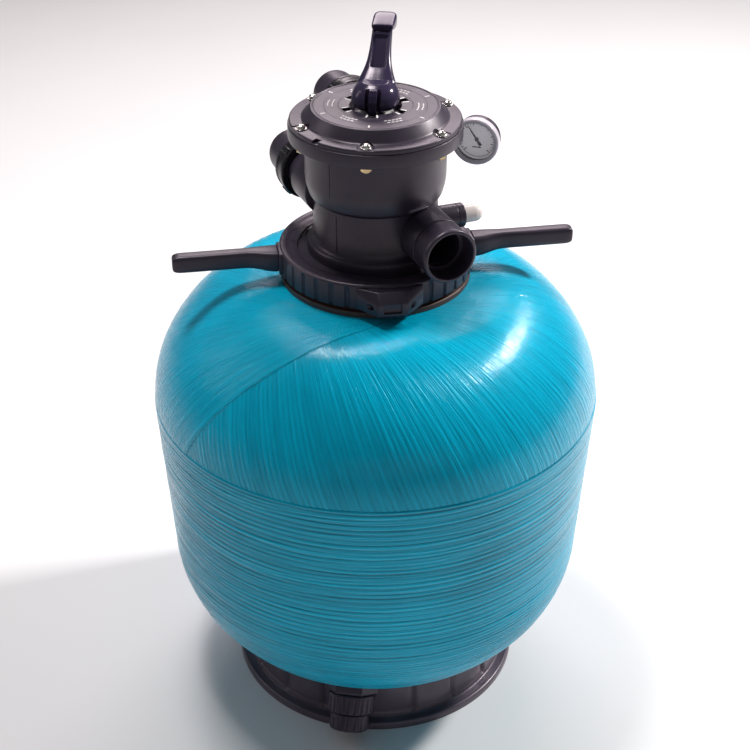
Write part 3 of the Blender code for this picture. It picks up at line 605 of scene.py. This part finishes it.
def make_base():
    """Foot with a rim and a wall of 18 panels, cut away where the drain passes."""
    panel_deg, wall_in, wall_out, wall_low = 20, 0.1610, 0.1672, 0.0092

    def panels(angle, radius, height):
        if not wall_in <= radius <= wall_out or height < wall_low:
            return radius, height
        wave = (math.degrees(angle) / panel_deg - 1 / 3 + 0.5) % 1.0 - 0.5
        groove = math.exp(-(wave / 0.055) ** 2) + 0.22 * (2 * abs(0.5 - abs(wave)) - 0.5)
        return radius - 0.0030 * groove, height

    outline = [
        (0.0, 0.0060), (0.1575, 0.0060), (0.1575, 0.0572), (0.1625, 0.0594, 0.0008),
        (0.1634, 0.0500), (0.1642, 0.0350), (0.1650, 0.0220), (0.1655, 0.0150, 0.0012),
        (0.1670, 0.0132, 0.0010), (0.1676, 0.0096, 0.0006), (0.1700, 0.0088, 0.0008),
        (0.1762, 0.0088, 0.0010), (0.1776, 0.0095, 0.0010), (0.1796, 0.0086, 0.0014),
        (0.1805, 0.0060, 0.0010), (0.1805, 0.0), (0.0, 0.0)]
    base = lathe("base_foot", outline, steps=540, closed=False, shape=panels)
    cut(base, rod("recess", 0.0338, -0.03, 0.09, drain_frame()))
    # The base_plastic look carries painted sheen on the foot.
    piece(base, "tank", "base_plastic", "tank_base")


# ---- drain ---------------------------------------------------------------------------------
def drain_frame():
    origin = direction(DRAIN_AZ) * DRAIN_END[0] + Vector((0, 0, DRAIN_END[1]))
    return frame_at(origin, -direction(DRAIN_AZ, DRAIN_SLOPE))


def ribs(count, depth, low, high, floor_r, share=0.5):
    """Shape for lathe: grooves between two heights, where the radius is over floor_r.

    share is the part of each pitch that keeps its full radius.
    """
    def shape(angle, radius, height):
        if radius < floor_r or height < low or height > high:
            return radius, height
        wave = (angle / TURN * count) % 1.0
        groove = min(max((abs(wave - 0.5) * 2 - share) * 6, 0.0), 1.0)
        return radius - depth * groove, height
    return shape


def make_drain():
    """Hexagonal flange trimmed to the tank's surface, ribbed ring and ribbed cap."""
    here = drain_frame()
    hexagon = lathe("hexagon", [(0.0, 0.0655), (0.0323, 0.0655), (0.0323, 0.0480, 0.001),
                                (0.0306, 0.0463), (0.0, 0.0463)], here, 6, closed=False)
    hull = [(0.0, 0.1400)] + [(r + 0.0002, z) for r, z in lower_outline()]
    cut(hexagon, lathe("tank_outside", hull, steps=96, closed=False))
    join(hexagon, rod("tube", 0.0238, 0.0320, 0.0560, here, 64))
    cut(hexagon, rod("tube_bore", 0.0192, 0.0200, 0.1100, here, 64))
    piece(hexagon, "tank", "black_plastic", "drain_spigot", angle=20)
    nut = [(0.0130, 0.0290), (0.0242, 0.0290), (0.0242, 0.0458), (0.0266, 0.0458, 0.0012),
           (0.0281, 0.0440, 0.0010), (0.0281, 0.0400), (0.0281, 0.0240, 0.0012),
           (0.0266, 0.0218, 0.0008), (0.0188, 0.0218), (0.0188, 0.0058), (0.0130, 0.0058)]
    ring = lathe("drain_ring", nut, here, 240, shape=ribs(20, 0.0014, 0.0235, 0.0430, 0.0270, 0.62))
    piece(ring, "drain_nut", "black_plastic", "drain_nut")
    cap = [(0.0, 0.0030), (0.0192, 0.0030), (0.0192, 0.0210), (0.0230, 0.0210, 0.0006),
           (0.0238, 0.0200, 0.0008), (0.0238, 0.0150), (0.0238, 0.0050), (0.0236, 0.0022, 0.0020),
           (0.0206, 0.0, 0.0014), (0.0, 0.0)]
    lid = lathe("drain_lid", cap, here, 240, closed=False,
                shape=ribs(16, 0.0012, 0.0030, 0.0180, 0.0225, 0.66))
    cut(lid, block("pocket_a", (0.0060, -0.0120, -0.0020), (0.0150, 0.0120, 0.0016), here),
        block("pocket_b", (-0.0150, -0.0120, -0.0020), (-0.0060, 0.0120, 0.0016), here))
    piece(lid, "drain_cap", "black_plastic", "drain_cap")


def lower_outline():
    """The bottom dome's outer surface, from the side to the axis."""
    points, count, power = [], 40, 2 / LOWER_POWER
    for i in range(count + 1):
        t = math.pi / 2 * i / count
        points.append((side_r(SIDE_LOW_Z) * math.cos(t) ** power if i < count else 0.0,
                       SIDE_LOW_Z - LOWER_H * math.sin(t) ** power))
    return [p for p in points if p[1] < 0.135]


# ---- neck and collar -----------------------------------------------------------------------
def make_neck():
    outline = [
        (0.1035, 0.5735), (0.1035, 0.5557, 0.0006), (0.1085, 0.5557, 0.0006),
        (0.1092, 0.5550, 0.0006), (0.1092, 0.5495), (0.0895, 0.5495), (0.0895, 0.5320),
        (0.0800, 0.5320), (0.0800, 0.5735)]
    piece(lathe("neck_ring", outline, steps=160), "tank", "neck_plastic", "neck_flange")


def make_collar():
    """Locking collar: 36 grip grooves, a stepped top lip and a two-hole lug."""
    pitch_deg, first_deg, depth, inner_r = 10.0, 3.6, 0.0021, 0.1092
    low_z, fade_z, high_z = 0.5605, 0.5880, 0.5885

    def grip(angle, radius, height):
        if radius < inner_r or not low_z <= height <= high_z:
            return radius, height
        azimuth = math.degrees(angle) + 90
        wave = ((azimuth - first_deg) / pitch_deg) % 1.0
        groove = min(max((abs(wave - 0.5) * 2 - 0.70) * 8, 0.0), 1.0)
        taper = min(max((fade_z - height) / 0.004, 0.0), 1.0)
        return radius - depth * groove * taper, height

    outline = [
        (0.0893, 0.5835), (0.1042, 0.5835), (0.1042, 0.5600, 0.0004), (0.1092, 0.5600, 0.0008),
        (0.1103, 0.5612, 0.0004), (0.1103, 0.5700), (0.1103, 0.5780), (0.1103, 0.5850),
        (0.1103, 0.5878, 0.001), (0.1082, 0.5898, 0.0012), (0.1030, 0.5898, 0.0012),
        (0.0990, 0.5884, 0.001), (0.0950, 0.5880, 0.001), (0.0893, 0.5866, 0.0008)]
    collar = lathe("collar_ring", outline, steps=720, shape=grip)
    turn = about_z(LUG_AZ)
    lug_in, lug_out = 0.1050, 0.1290
    plan = [(-0.0375, lug_in), (-0.0155, lug_out), (0.0155, lug_out), (0.0375, lug_in)]
    sloped = [(x * 0.97, y - 0.011) if y > lug_in else (x, y) for x, y in plan]
    levels = [(plan, 0.5612), (plan, 0.5770), (sloped, 0.5862)]
    lug = loft("lug", [[(x, -y, z) for x, y in corners] for corners, z in levels], turn)
    bevel = lug.modifiers.new("edge", "BEVEL")
    bevel.width = 0.0012
    bevel.segments = 3
    bevel.limit_method = "ANGLE"
    apply_modifiers(lug)
    join(collar, lug)
    hole = frame_at(direction(LUG_AZ) * 0.1200 + Vector((0, 0, 0.5700)), direction(LUG_AZ + 90))
    cut(collar, rod("lug_hole", 0.0036, -0.06, 0.06, hole, 32),
        block("lug_pocket", (-0.0100, -0.1305, 0.5650), (0.0100, -0.1262, 0.5760), turn, 0.0008))
    for azimuth in HANDLE_AZ.values():
        join(collar, block("seat", (-0.0165, -0.1130, 0.5630), (0.0165, -0.1052, 0.5888),
                           about_z(azimuth), 0.0015))
        cut(collar, block("seam", (-0.0004, -0.1125, 0.5870), (0.0004, -0.0900, 0.5920),
                          about_z(azimuth - 11)))
    piece(collar, "collar", "black_plastic", "locking_collar")


def make_handle(side):
    """Grip bar, flared where it meets the collar and hollowed underneath."""
    turn, middle_z = about_z(HANDLE_AZ[side]), 0.5795
    stations = [  # radius, half width, half height, drop
        (0.1133, 0.0140, 0.0126, 0.0030), (0.1180, 0.0139, 0.0126, 0.0029),
        (0.1260, 0.0128, 0.0121, 0.0022), (0.1350, 0.0106, 0.0113, 0.0010),
        (0.1430, 0.0090, 0.0107, 0.0003), (0.1520, 0.0085, 0.0104, 0.0),
        (0.1750, 0.0085, 0.0104, 0.0), (0.2000, 0.0085, 0.0104, 0.0), (0.2200, 0.0085, 0.0104, 0.0),
        (0.2260, 0.0083, 0.0101, 0.0), (0.2300, 0.0074, 0.0090, 0.0), (0.2318, 0.0058, 0.0070, 0.0),
        (0.2322, 0.0030, 0.0036, 0.0)]
    rings = []
    for radius, half_w, half_h, drop in smooth_stations(stations, 90):
        rings.append([(x, -radius, middle_z - drop + z)
                      for x, z in rounded_section(max(half_w, 0.002), max(half_h, 0.003), 4.2)])
    bar = loft(f"handle_{side}", rings, turn)
    cut(bar, block("web_low", (-0.0050, -0.2200, 0.5640), (0.0050, -0.1480, 0.5712), turn, 0.0015))
    piece(bar, "collar", "black_plastic", f"collar_handle_{side}")


# ---- valve body ----------------------------------------------------------------------------
def port_frame(port, outward=1):
    """Axes of a port: its line runs level at the port azimuth, offset to one side of the axis."""
    across = direction(PORT_AZ + 90) * port["right"]
    return frame_at(across + Vector((0, 0, port["z"])), direction(PORT_AZ) * outward)


def gauge_stem_frame():
    return frame_at(GAUGE_C, -direction(GAUGE_AZ + 90))


def sight_frame():
    return frame_at(direction(SIGHT_AZ - 90) * SIGHT_OFFSET + Vector((0, 0, SIGHT_Z)),
                    direction(SIGHT_AZ))


def bolt_places():
    return [direction(BOLT_AZ + 60 * i) * BOLT_CIRCLE_R for i in range(6)]


def make_valve_body():
    """Two-tier housing with a waist groove, stubs for the ports and bosses, and mould lines."""
    outside = [
        (0.0, 0.7350), (0.0964, 0.7350, 0.0012), (0.0964, 0.7195, 0.0016), (0.0805, 0.7195, 0.0014),
        (0.0790, 0.7180, 0.0010), (0.0790, 0.6700, 0.0090), (0.0752, 0.6556, 0.0030),
        (0.0736, 0.6534, 0.0005), (0.0696, 0.6528), (0.0692, 0.6516), (0.0705, 0.6506, 0.0004),
        (0.0704, 0.6040, 0.0030), (0.0722, 0.5990, 0.0030), (0.0772, 0.5965, 0.0030),
        (0.0778, 0.5900, 0.0020), (0.0778, 0.5840), (0.0860, 0.5825, 0.001),
        (0.1000, 0.5805, 0.0006), (0.1000, 0.5745), (0.0780, 0.5742), (0.0780, 0.5400),
        (0.0, 0.5400)]
    body = lathe("valve_housing", outside, steps=192, closed=False)
    ret, stem, sight = port_frame(RETURN_PORT), gauge_stem_frame(), sight_frame()
    pump, waste = port_frame(PUMP_PORT, -1), port_frame(WASTE_PORT, -1)
    ledge = block("ledge", (-0.0125, -0.0790, 0.6560), (0.0125, -0.0600, 0.6590), about_z(37),
                  0.0008)
    join(body, rod("return_stub", 0.0306, 0.0300, 0.1040, ret, 96, 0.0008))
    join(body, rod("pump_stub", 0.0298, 0.0200, PUMP_PORT["stub"], pump, 96, 0.0015),
         rod("waste_stub", 0.0292, 0.0400, WASTE_PORT["stub"], waste, 96, 0.0012))
    join(body, rod("pump_thread", 0.0264, 0.0300, PUMP_PORT["nut"] + 0.0165, pump, 80),
         rod("waste_thread", 0.0264, 0.0900, WASTE_PORT["nut"] + 0.0165, waste, 80),
         rod("gauge_boss", 0.0076, 0.0385, 0.0680, stem, 48, 0.0006),
         rod("sight_boss", 0.0139, 0.0500, 0.0845, sight, 64, 0.0006), ledge)
    cut(body, rod("return_bore", 0.0215, 0.0450, 0.1200, ret, 80),
        rod("chamber", 0.0660, 0.6680, 0.7400, None, 128),
        block("line_upper", (-0.0005, -0.0820, 0.6620), (0.0005, -0.0782, 0.7180), about_z(-38.5)),
        block("line_lower", (-0.0005, -0.0720, 0.6020), (0.0005, -0.0697, 0.6470), about_z(-37.5)),
        block("line_back", (-0.0005, -0.0820, 0.6620), (0.0005, -0.0782, 0.7180), about_z(141.5)))
    piece(body, "tank", "black_plastic", "valve_body")


def make_cover():
    """Cover with a sloped band, engraved rings, bolt pockets, centre well and lever notches."""
    outline = [
        (0.0282, 0.7536, 0.0010), (0.0402, 0.7536), (0.0405, 0.7533), (0.0411, 0.7533),
        (0.0414, 0.7536), (0.0560, 0.7536), (0.0562, 0.7534), (0.0566, 0.7534), (0.0568, 0.7536),
        (0.0676, 0.7536), (0.0679, 0.7531), (0.0688, 0.7531), (0.0692, 0.7538, 0.0002),
        (0.0712, 0.7538, 0.0007), (0.0794, 0.7424, 0.0010), (0.0812, 0.7410, 0.0010),
        (0.0940, 0.7406, 0.0014), (0.0949, 0.7394, 0.0006), (0.0949, 0.7354, 0.0004),
        (0.0640, 0.7354), (0.0640, 0.7360), (0.0090, 0.7360), (0.0090, 0.7440),
        (0.0282, 0.7440, 0.0010)]
    cover = lathe("cover_plate", outline, steps=192)
    cutters = []
    for i, place in enumerate(bolt_places()):
        turn = about_z(BOLT_AZ + 60 * i)
        cutters += [
            rod(f"pocket_{i}", 0.0092, 0.7398, 0.7460, Matrix.Translation(place), 48),
            block(f"notch_{i}", (-0.0042, -0.0385, 0.7490), (0.0042, -0.0255, 0.7600), turn),
            block(f"ramp_{i}", (-0.0092, -0.1000, 0.7398),
                  (0.0092, -BOLT_CIRCLE_R, 0.7460), turn)]
    cutters.append(block("rim_notch", (-0.0040, -0.0960, 0.7372), (0.0040, -0.0880, 0.7420),
                         about_z(-42.4)))
    for cutter in cutters:
        cut(cover, cutter)
    piece(cover, "tank", "black_plastic", "valve_cover")
    marks = []
    for i in range(6):
        azimuth = BOLT_AZ + 60 * i
        for side in (-1, 1):
            marks.append(cover_mark(azimuth + side * 9.5, 0.0010, 0.0305, 0.0375))
        for radius, count in ((0.0470, 5), (0.0520, 4)):
            for k in range(count):
                marks.append(cover_mark(azimuth + 30 + (k - (count - 1) / 2) * 5.2, 0.0016,
                                        radius - 0.0007, radius + 0.0007, 0.00042))
        marks.append(cover_mark(azimuth, 0.0008, 0.0590, 0.0645))
    piece(joined("cover_marks", marks), "tank", "black_plastic", look=MARK_WHITE)


def cover_mark(azimuth, half_width, inner, outer, rise=0.00045):
    """Raised stroke between two radii, set just below the cover's flat face."""
    low_z = 0.7533
    return block("mark", (-half_width, -outer, low_z), (half_width, -inner, low_z + rise),
                 about_z(azimuth))


def make_bolts():
    """Cross-slotted domed bolts with washers, each turned a little differently, and their nuts."""
    head = BOLT_HEAD_Z
    bolt_outline = [
        (0.0, head + 0.0054), (0.0020, head + 0.0053, 0.0005), (0.0042, head + 0.0040, 0.0008),
        (0.0050, head + 0.0024, 0.0006), (0.0050, head + 0.0012), (0.0063, head + 0.0012, 0.0003),
        (0.0063, head, 0.0003), (0.0030, head), (0.0030, 0.7200), (0.0, 0.7200)]
    nut_outline = [
        (0.0, 0.7118), (0.0026, 0.7118, 0.0008), (0.0030, 0.7128), (0.0030, 0.7136),
        (0.0050, 0.7136), (0.0058, 0.7143), (0.0058, 0.7190), (0.0, 0.7190)]
    for number, place in enumerate(bolt_places(), 1):
        here = Matrix.Translation(place) @ about_z(17 * (number - 1))
        bolt = lathe(f"bolt_{number}", bolt_outline, here, 48, closed=False)
        for quarter in (0, 90):
            cut(bolt, block("slot", (-0.0022, -0.0005, head + 0.0040),
                            (0.0022, 0.0005, head + 0.0060), here @ about_z(quarter)))
        piece(bolt, "tank", "bolt_steel", f"cover_bolt_{number}")
        if number in BOLT_NUTS:
            nut = lathe(f"nut_{number}", nut_outline, here, 6, closed=False)
            piece(nut, "tank", "nut_brass", f"cover_nut_{number}", angle=20)


# ---- lever ---------------------------------------------------------------------------------
def make_lever():
    """Polished lever: two lobes and a pointer rib at the foot, a recessed arm and a thumb pad."""
    turn = Matrix.Translation((0, 0, PIN_Z)) @ about_z(LEVER_AZ)
    foot = [  # height from the pin, half width, half depth
        (-0.0136, 0.0070, 0.0060), (-0.0120, 0.0140, 0.0115), (-0.0080, 0.0200, 0.0180),
        (-0.0050, 0.0240, 0.0232), (0.0000, 0.0264, 0.0264), (0.0060, 0.0258, 0.0258),
        (0.0115, 0.0238, 0.0232), (0.0165, 0.0202, 0.0188), (0.0205, 0.0140, 0.0120)]
    rings = [[(x, y, z) for x, y in rounded_section(w, d, 2.25)]
             for z, w, d in smooth_stations(foot, 40)]
    lever = loft("lever_body", rings, turn)
    lean = turn @ Matrix.Rotation(math.radians(-LEVER_LEAN), 4, "X")
    arm = [  # distance along the arm, half width, half depth
        (0.0000, 0.0215, 0.0120), (0.0150, 0.0216, 0.0122), (0.0230, 0.0194, 0.0112),
        (0.0320, 0.0164, 0.0096), (0.0430, 0.0137, 0.0080), (0.0560, 0.0122, 0.0068),
        (0.0700, 0.0114, 0.0062), (LEVER_ARM + 0.0040, 0.0110, 0.0060)]
    sections = [[(x, y, t) for x, y in rounded_section(w, d, 3.4)]
                for t, w, d in smooth_stations(arm, 60)]
    pad_tip = (0, LEVER_ARM * math.sin(math.radians(LEVER_LEAN)),
               LEVER_ARM * math.cos(math.radians(LEVER_LEAN)))
    pad_at = turn @ Matrix.Translation(pad_tip) @ Matrix.Rotation(math.radians(10), 4, "X")
    pad = [  # distance back, half width, half height, middle
        (-0.0068, 0.0112, 0.0022, 0.0072), (-0.0050, 0.0120, 0.0034, 0.0062),
        (0.0060, 0.0128, 0.0066, 0.0030), (0.0180, 0.0130, 0.0080, 0.0014),
        (0.0240, 0.0122, 0.0072, 0.0016), (0.0275, 0.0096, 0.0050, 0.0024)]
    slabs = [[(x + 0.0006, y, m + z) for x, z in rounded_section(w, h, 4.5)]
             for y, w, h, m in smooth_stations(pad, 36)]
    join(lever, loft("arm", sections, lean), loft("pad", slabs, pad_at))
    cut(lever,
        block("recess", (-0.0082, -0.0200, 0.0330), (0.0082, -0.0032, 0.0735), lean, 0.0025),
        block("lip", (-0.0140, -0.0200, 0.0775), (0.0140, -0.0052, 0.0805), lean))
    for side in (-1, 1):
        cut(lever, block("channel", (side * 0.0064 - 0.0018, -0.0320, -0.0160),
                         (side * 0.0064 + 0.0018, -0.0168, 0.0190), turn, 0.0008))
    rib_half_w, rib_back = 0.0043, -0.012
    rib = [  # height from the pin, distance of the front face
        (-0.0100, 0.0240), (-0.0040, 0.0266), (0.0060, 0.0268), (0.0120, 0.0246), (0.0175, 0.0205)]
    join(lever, loft("rib", [[(-rib_half_w, -front, z), (rib_half_w, -front, z),
                              (rib_half_w, rib_back, z), (-rib_half_w, rib_back, z)]
                             for z, front in rib], turn))
    pin_line = frame_at(Vector((0, 0, PIN_Z)), direction(LEVER_AZ + 90))
    cut(lever,
        block("stem_slot", (-0.0092, -0.0100, -0.0300), (0.0092, 0.0220, 0.0000), turn),
        rod("pin_hole", 0.0033, -0.04, 0.04, pin_line, 32))
    blend_surface(lever, 0.00060, 3)
    piece(lever, "lever", "lever_plastic", "control_lever", angle=70)


# ---- ports, sight glass and gauge ----------------------------------------------------------
def make_ports():
    """Pipe socket of the front port, and a union nut with its tailpiece on both rear ports."""
    seam, face = 0.1043, 0.1343
    adapter = [
        (0.0288, face, 0.0004), (0.0306, face - 0.0008, 0.0008), (0.0313, face - 0.0030, 0.0010),
        (0.0313, face - 0.0070, 0.0004), (0.0304, face - 0.0082, 0.0004),
        (0.0304, seam + 0.0016, 0.0004), (0.0296, seam, 0.0004), (0.0216, seam),
        (0.0216, seam + 0.0070, 0.0006), (0.0255, seam + 0.0070), (0.0255, face - 0.0070),
        (0.0261, face - 0.0040, 0.0006), (0.0270, face, 0.0004)]
    piece(lathe("return_socket", adapter, port_frame(RETURN_PORT), 144), "tank", "black_plastic",
          "return_adapter")
    for name, port in (("pump", PUMP_PORT), ("waste", WASTE_PORT)):
        here = port_frame(port, -1)
        near = port["nut"]
        far = near + 0.0230
        nut = [
            (0.0283, far - 0.0035), (0.0283, far), (0.0330, far, 0.0010),
            (0.0350, far - 0.0020, 0.0008), (0.0350, far - 0.0060, 0.0005),
            (0.0342, far - 0.0070, 0.0004), (0.0342, near + 0.0070, 0.0004),
            (0.0350, near + 0.0060, 0.0005), (0.0350, near + 0.0012, 0.0006),
            (0.0338, near, 0.0006), (0.0268, near), (0.0268, far - 0.0035)]
        ring = lathe(f"{name}_ring", nut, here, 160)
        for i in range(4):
            join(ring, block("lug", (0.0300, -0.0036, near + 0.004), (0.0366, 0.0036, far - 0.004),
                             here @ about_z(90 * i + 45), 0.0008))
        piece(ring, f"{name}_nut", "black_plastic", f"{name}_union_nut", look=BLACK_RING)
        start, end = near + 0.0172, far + 0.0420
        tail = [
            (0.0215, start), (0.0264, start), (0.0264, start + 0.0036), (0.0275, start + 0.0036),
            (0.0275, far + 0.0015), (0.0282, far + 0.0025, 0.0005), (0.0282, far + 0.0140, 0.0008),
            (0.0275, far + 0.0150, 0.0005), (0.0275, end - 0.0120), (0.0270, end - 0.0040, 0.002),
            (0.0256, end, 0.0015), (0.0222, end, 0.0008), (0.0215, end - 0.0010)]
        pipe = lathe(f"{name}_tail", tail, here, 144,
                     shape=ribs(12, 0.0008, far + 0.0035, far + 0.0130, 0.0278, 0.86))
        piece(pipe, "tank", "black_plastic", f"{name}_tailpiece")


def make_sight_glass():
    here = sight_frame()
    lens = [
        (0.0, 0.1172), (0.0034, 0.1168, 0.001), (0.0066, 0.1148, 0.001), (0.0088, 0.1116, 0.001),
        (0.0098, 0.1072, 0.001), (0.0098, 0.0760), (0.0082, 0.0760), (0.0082, 0.1060, 0.001),
        (0.0056, 0.1118, 0.001), (0.0, 0.1140)]
    piece(lathe("sight_dome", lens, here, 96, closed=False), "tank", "clear_window",
          "sight_glass_lens", look=MILKY)
    nut = [(0.0102, 0.0935), (0.0125, 0.0935, 0.0006), (0.0139, 0.0925, 0.0008), (0.0139, 0.0848),
           (0.0102, 0.0848)]
    piece(lathe("sight_ring", nut, here, 72), "tank", "black_plastic", "sight_glass_nut")


def make_gauge():
    """Pressure gauge: cup, rim, dial with a scale, thin window, needle and hexagonal stem."""
    here = frame_at(GAUGE_C, direction(GAUGE_AZ))
    case = [
        (0.0, -0.0155), (0.0243, -0.0155), (0.0243, 0.0014), (0.0256, 0.0014),
        (0.0256, -0.0150, 0.0010), (0.0240, -0.0182, 0.0020), (0.0, -0.0182)]
    piece(lathe("gauge_cup", case, here, 112, closed=False), "tank", "black_plastic", "gauge_case")
    bezel = [
        (0.0222, 0.0036, 0.0004), (0.0250, 0.0044, 0.0006), (0.0268, 0.0036, 0.0010),
        (0.0272, 0.0020, 0.0010), (0.0272, -0.0050, 0.0008), (0.0259, -0.0050), (0.0259, 0.0018),
        (0.0222, 0.0018)]
    piece(lathe("gauge_rim", bezel, here, 128), "tank", "black_plastic", "gauge_bezel",
          look=RIM_GREY)
    # The dial_face look glows with painted light.
    piece(rod("dial_plate", 0.0241, -0.0080, -0.0068, here, 96), "tank", "dial_face", "gauge_dial")
    low, high, sweep, gaps = -0.0069, -0.0066, 270, 27
    marks = []
    for i in range(gaps + 1):
        inner, half_w = (0.0165, 0.0005) if i % 3 == 0 else (0.0182, 0.0003)
        marks.append(block("tick", (-half_w, inner, low), (half_w, 0.0202, high),
                           here @ about_z(sweep / 2 - sweep / gaps * i)))
    marks.append(lathe("arc", [(0.0206, high), (0.0211, high), (0.0211, low), (0.0206, low)],
                       here, 96))
    marks.append(block("label", (-0.0050, -0.0105, low), (0.0050, -0.0092, high), here))
    piece(joined("dial_marks", marks), "tank", "dial_face", look=BLACK_RING)
    window = [(0.0, 0.0026), (0.0120, 0.0022, 0.002), (0.0221, 0.0014), (0.0241, 0.0014),
              (0.0241, -0.0002), (0.0, -0.0002)]
    piece(lathe("gauge_window", window, here, 96, closed=False), "tank", "clear_window",
          "gauge_lens")
    needle = rod("pointer", 0.0022, -0.0065, -0.0040, here, 32, 0.0003)
    blade = [(-0.0019, -0.0085), (0.0019, -0.0085), (0.0010, 0.0), (0.0003, 0.0185),
             (-0.0003, 0.0185), (-0.0010, 0.0)]
    join(needle, loft("blade", [[(x, y, z) for x, y in blade] for z in (-0.0053, -0.0044)],
                      here @ about_z(35)))
    piece(needle, "needle", "seal_rubber", "gauge_needle")
    stem = [(0.0, 0.0275), (0.0066, 0.0275), (0.0075, 0.0282), (0.0075, 0.0375),
            (0.0066, 0.0382), (0.0, 0.0382)]
    piece(lathe("stem_hex", stem, gauge_stem_frame(), 6, closed=False), "tank", "nut_brass",
          "gauge_stem", angle=20)


# ---- what stays as it is in the frame ------------------------------------------------------
def dress_frame():
    """Give every CAD node that still shows its own finish."""
    slots = {entry["node"]: entry["material_slot"] for entry in frame["record"]["subparts"]}
    for name, obj in frame["nodes"].items():
        obj.data.materials.clear()
        obj.data.materials.append(LOOKS[slots[name]])


# ---- studio --------------------------------------------------------------------------------
def area_light(name, azimuth, elevation, distance, size, power, color, aim=(0, 0, 0.45)):
    """Rectangular light seen from the aim at an azimuth and elevation in degrees."""
    light = bpy.data.lights.new(name, "AREA")
    light.shape = "RECTANGLE"
    light.size, light.size_y = size
    light.energy = power
    light.color = color
    obj = bpy.data.objects.new(name, light)
    obj.location = Vector(aim) + direction(azimuth, -elevation) * distance
    obj.rotation_euler = (Vector(aim) - obj.location).to_track_quat("-Z", "Y").to_euler()
    bpy.context.scene.collection.objects.link(obj)


def make_studio():
    """Pale plain floor, a dim even surround and five soft lights."""
    bm = bmesh.new()
    bmesh.ops.create_grid(bm, x_segments=1, y_segments=1, size=12.0)
    floor = to_object("floor", bm)
    floor.location.z = -0.0002
    n = Nodes("floor")
    grain = n.noise(n.object_coords(), 3.0)
    n.principled(Base_Color=n.ramp(grain, [(0.3, (0.79, 0.79, 0.79)), (0.7, (0.81, 0.81, 0.81))]),
                 Roughness=0.7)
    floor.data.materials.append(n.material)
    world = bpy.data.worlds.new("studio")
    world.use_nodes = True
    background = world.node_tree.nodes["Background"]
    background.inputs["Color"].default_value = (0.93, 0.96, 1.0, 1.0)
    background.inputs["Strength"].default_value = 0.13
    bpy.context.scene.world = world
    area_light("key_right", 112, 36, 3.0, (0.34, 0.34), 100, (1.0, 0.97, 0.95))
    area_light("back_sheen", 176, 37, 3.2, (2.2, 0.8), 46, (1.0, 0.88, 0.91))
    area_light("overhead", -125, 76, 2.8, (0.6, 0.6), 50, (1.0, 0.97, 0.96))
    area_light("left_fill", -100, 30, 3.0, (0.6, 1.6), 9, (1.0, 0.90, 0.92))
    area_light("front_fill", 8, 12, 2.6, (2.4, 0.8), 2, (1.0, 0.94, 0.97), (0, 0, 0.2))
    bpy.context.scene.view_settings.view_transform = "Standard"


def make_camera():
    """Camera in front of the tank, raised and tilted down."""
    camera = bpy.data.cameras.new("camera")
    camera.sensor_width = 36.0
    camera.lens = 72.35
    camera.shift_x = -0.0007
    obj = bpy.data.objects.new("camera", camera)
    obj.location = (0.0, -1.5431, 1.3686)
    tilt_down = 0.5567
    obj.rotation_euler = (math.pi / 2 - tilt_down, 0.0, 0.0)
    bpy.context.scene.collection.objects.link(obj)
    bpy.context.scene.camera = obj


make_camera()
dress_frame()
make_dome()
make_hoops()
make_base()
make_drain()
make_neck()
make_collar()
make_handle("right")
make_handle("left")
make_valve_body()
make_cover()
make_bolts()
make_lever()
make_ports()
make_sight_glass()
make_gauge()
make_studio()
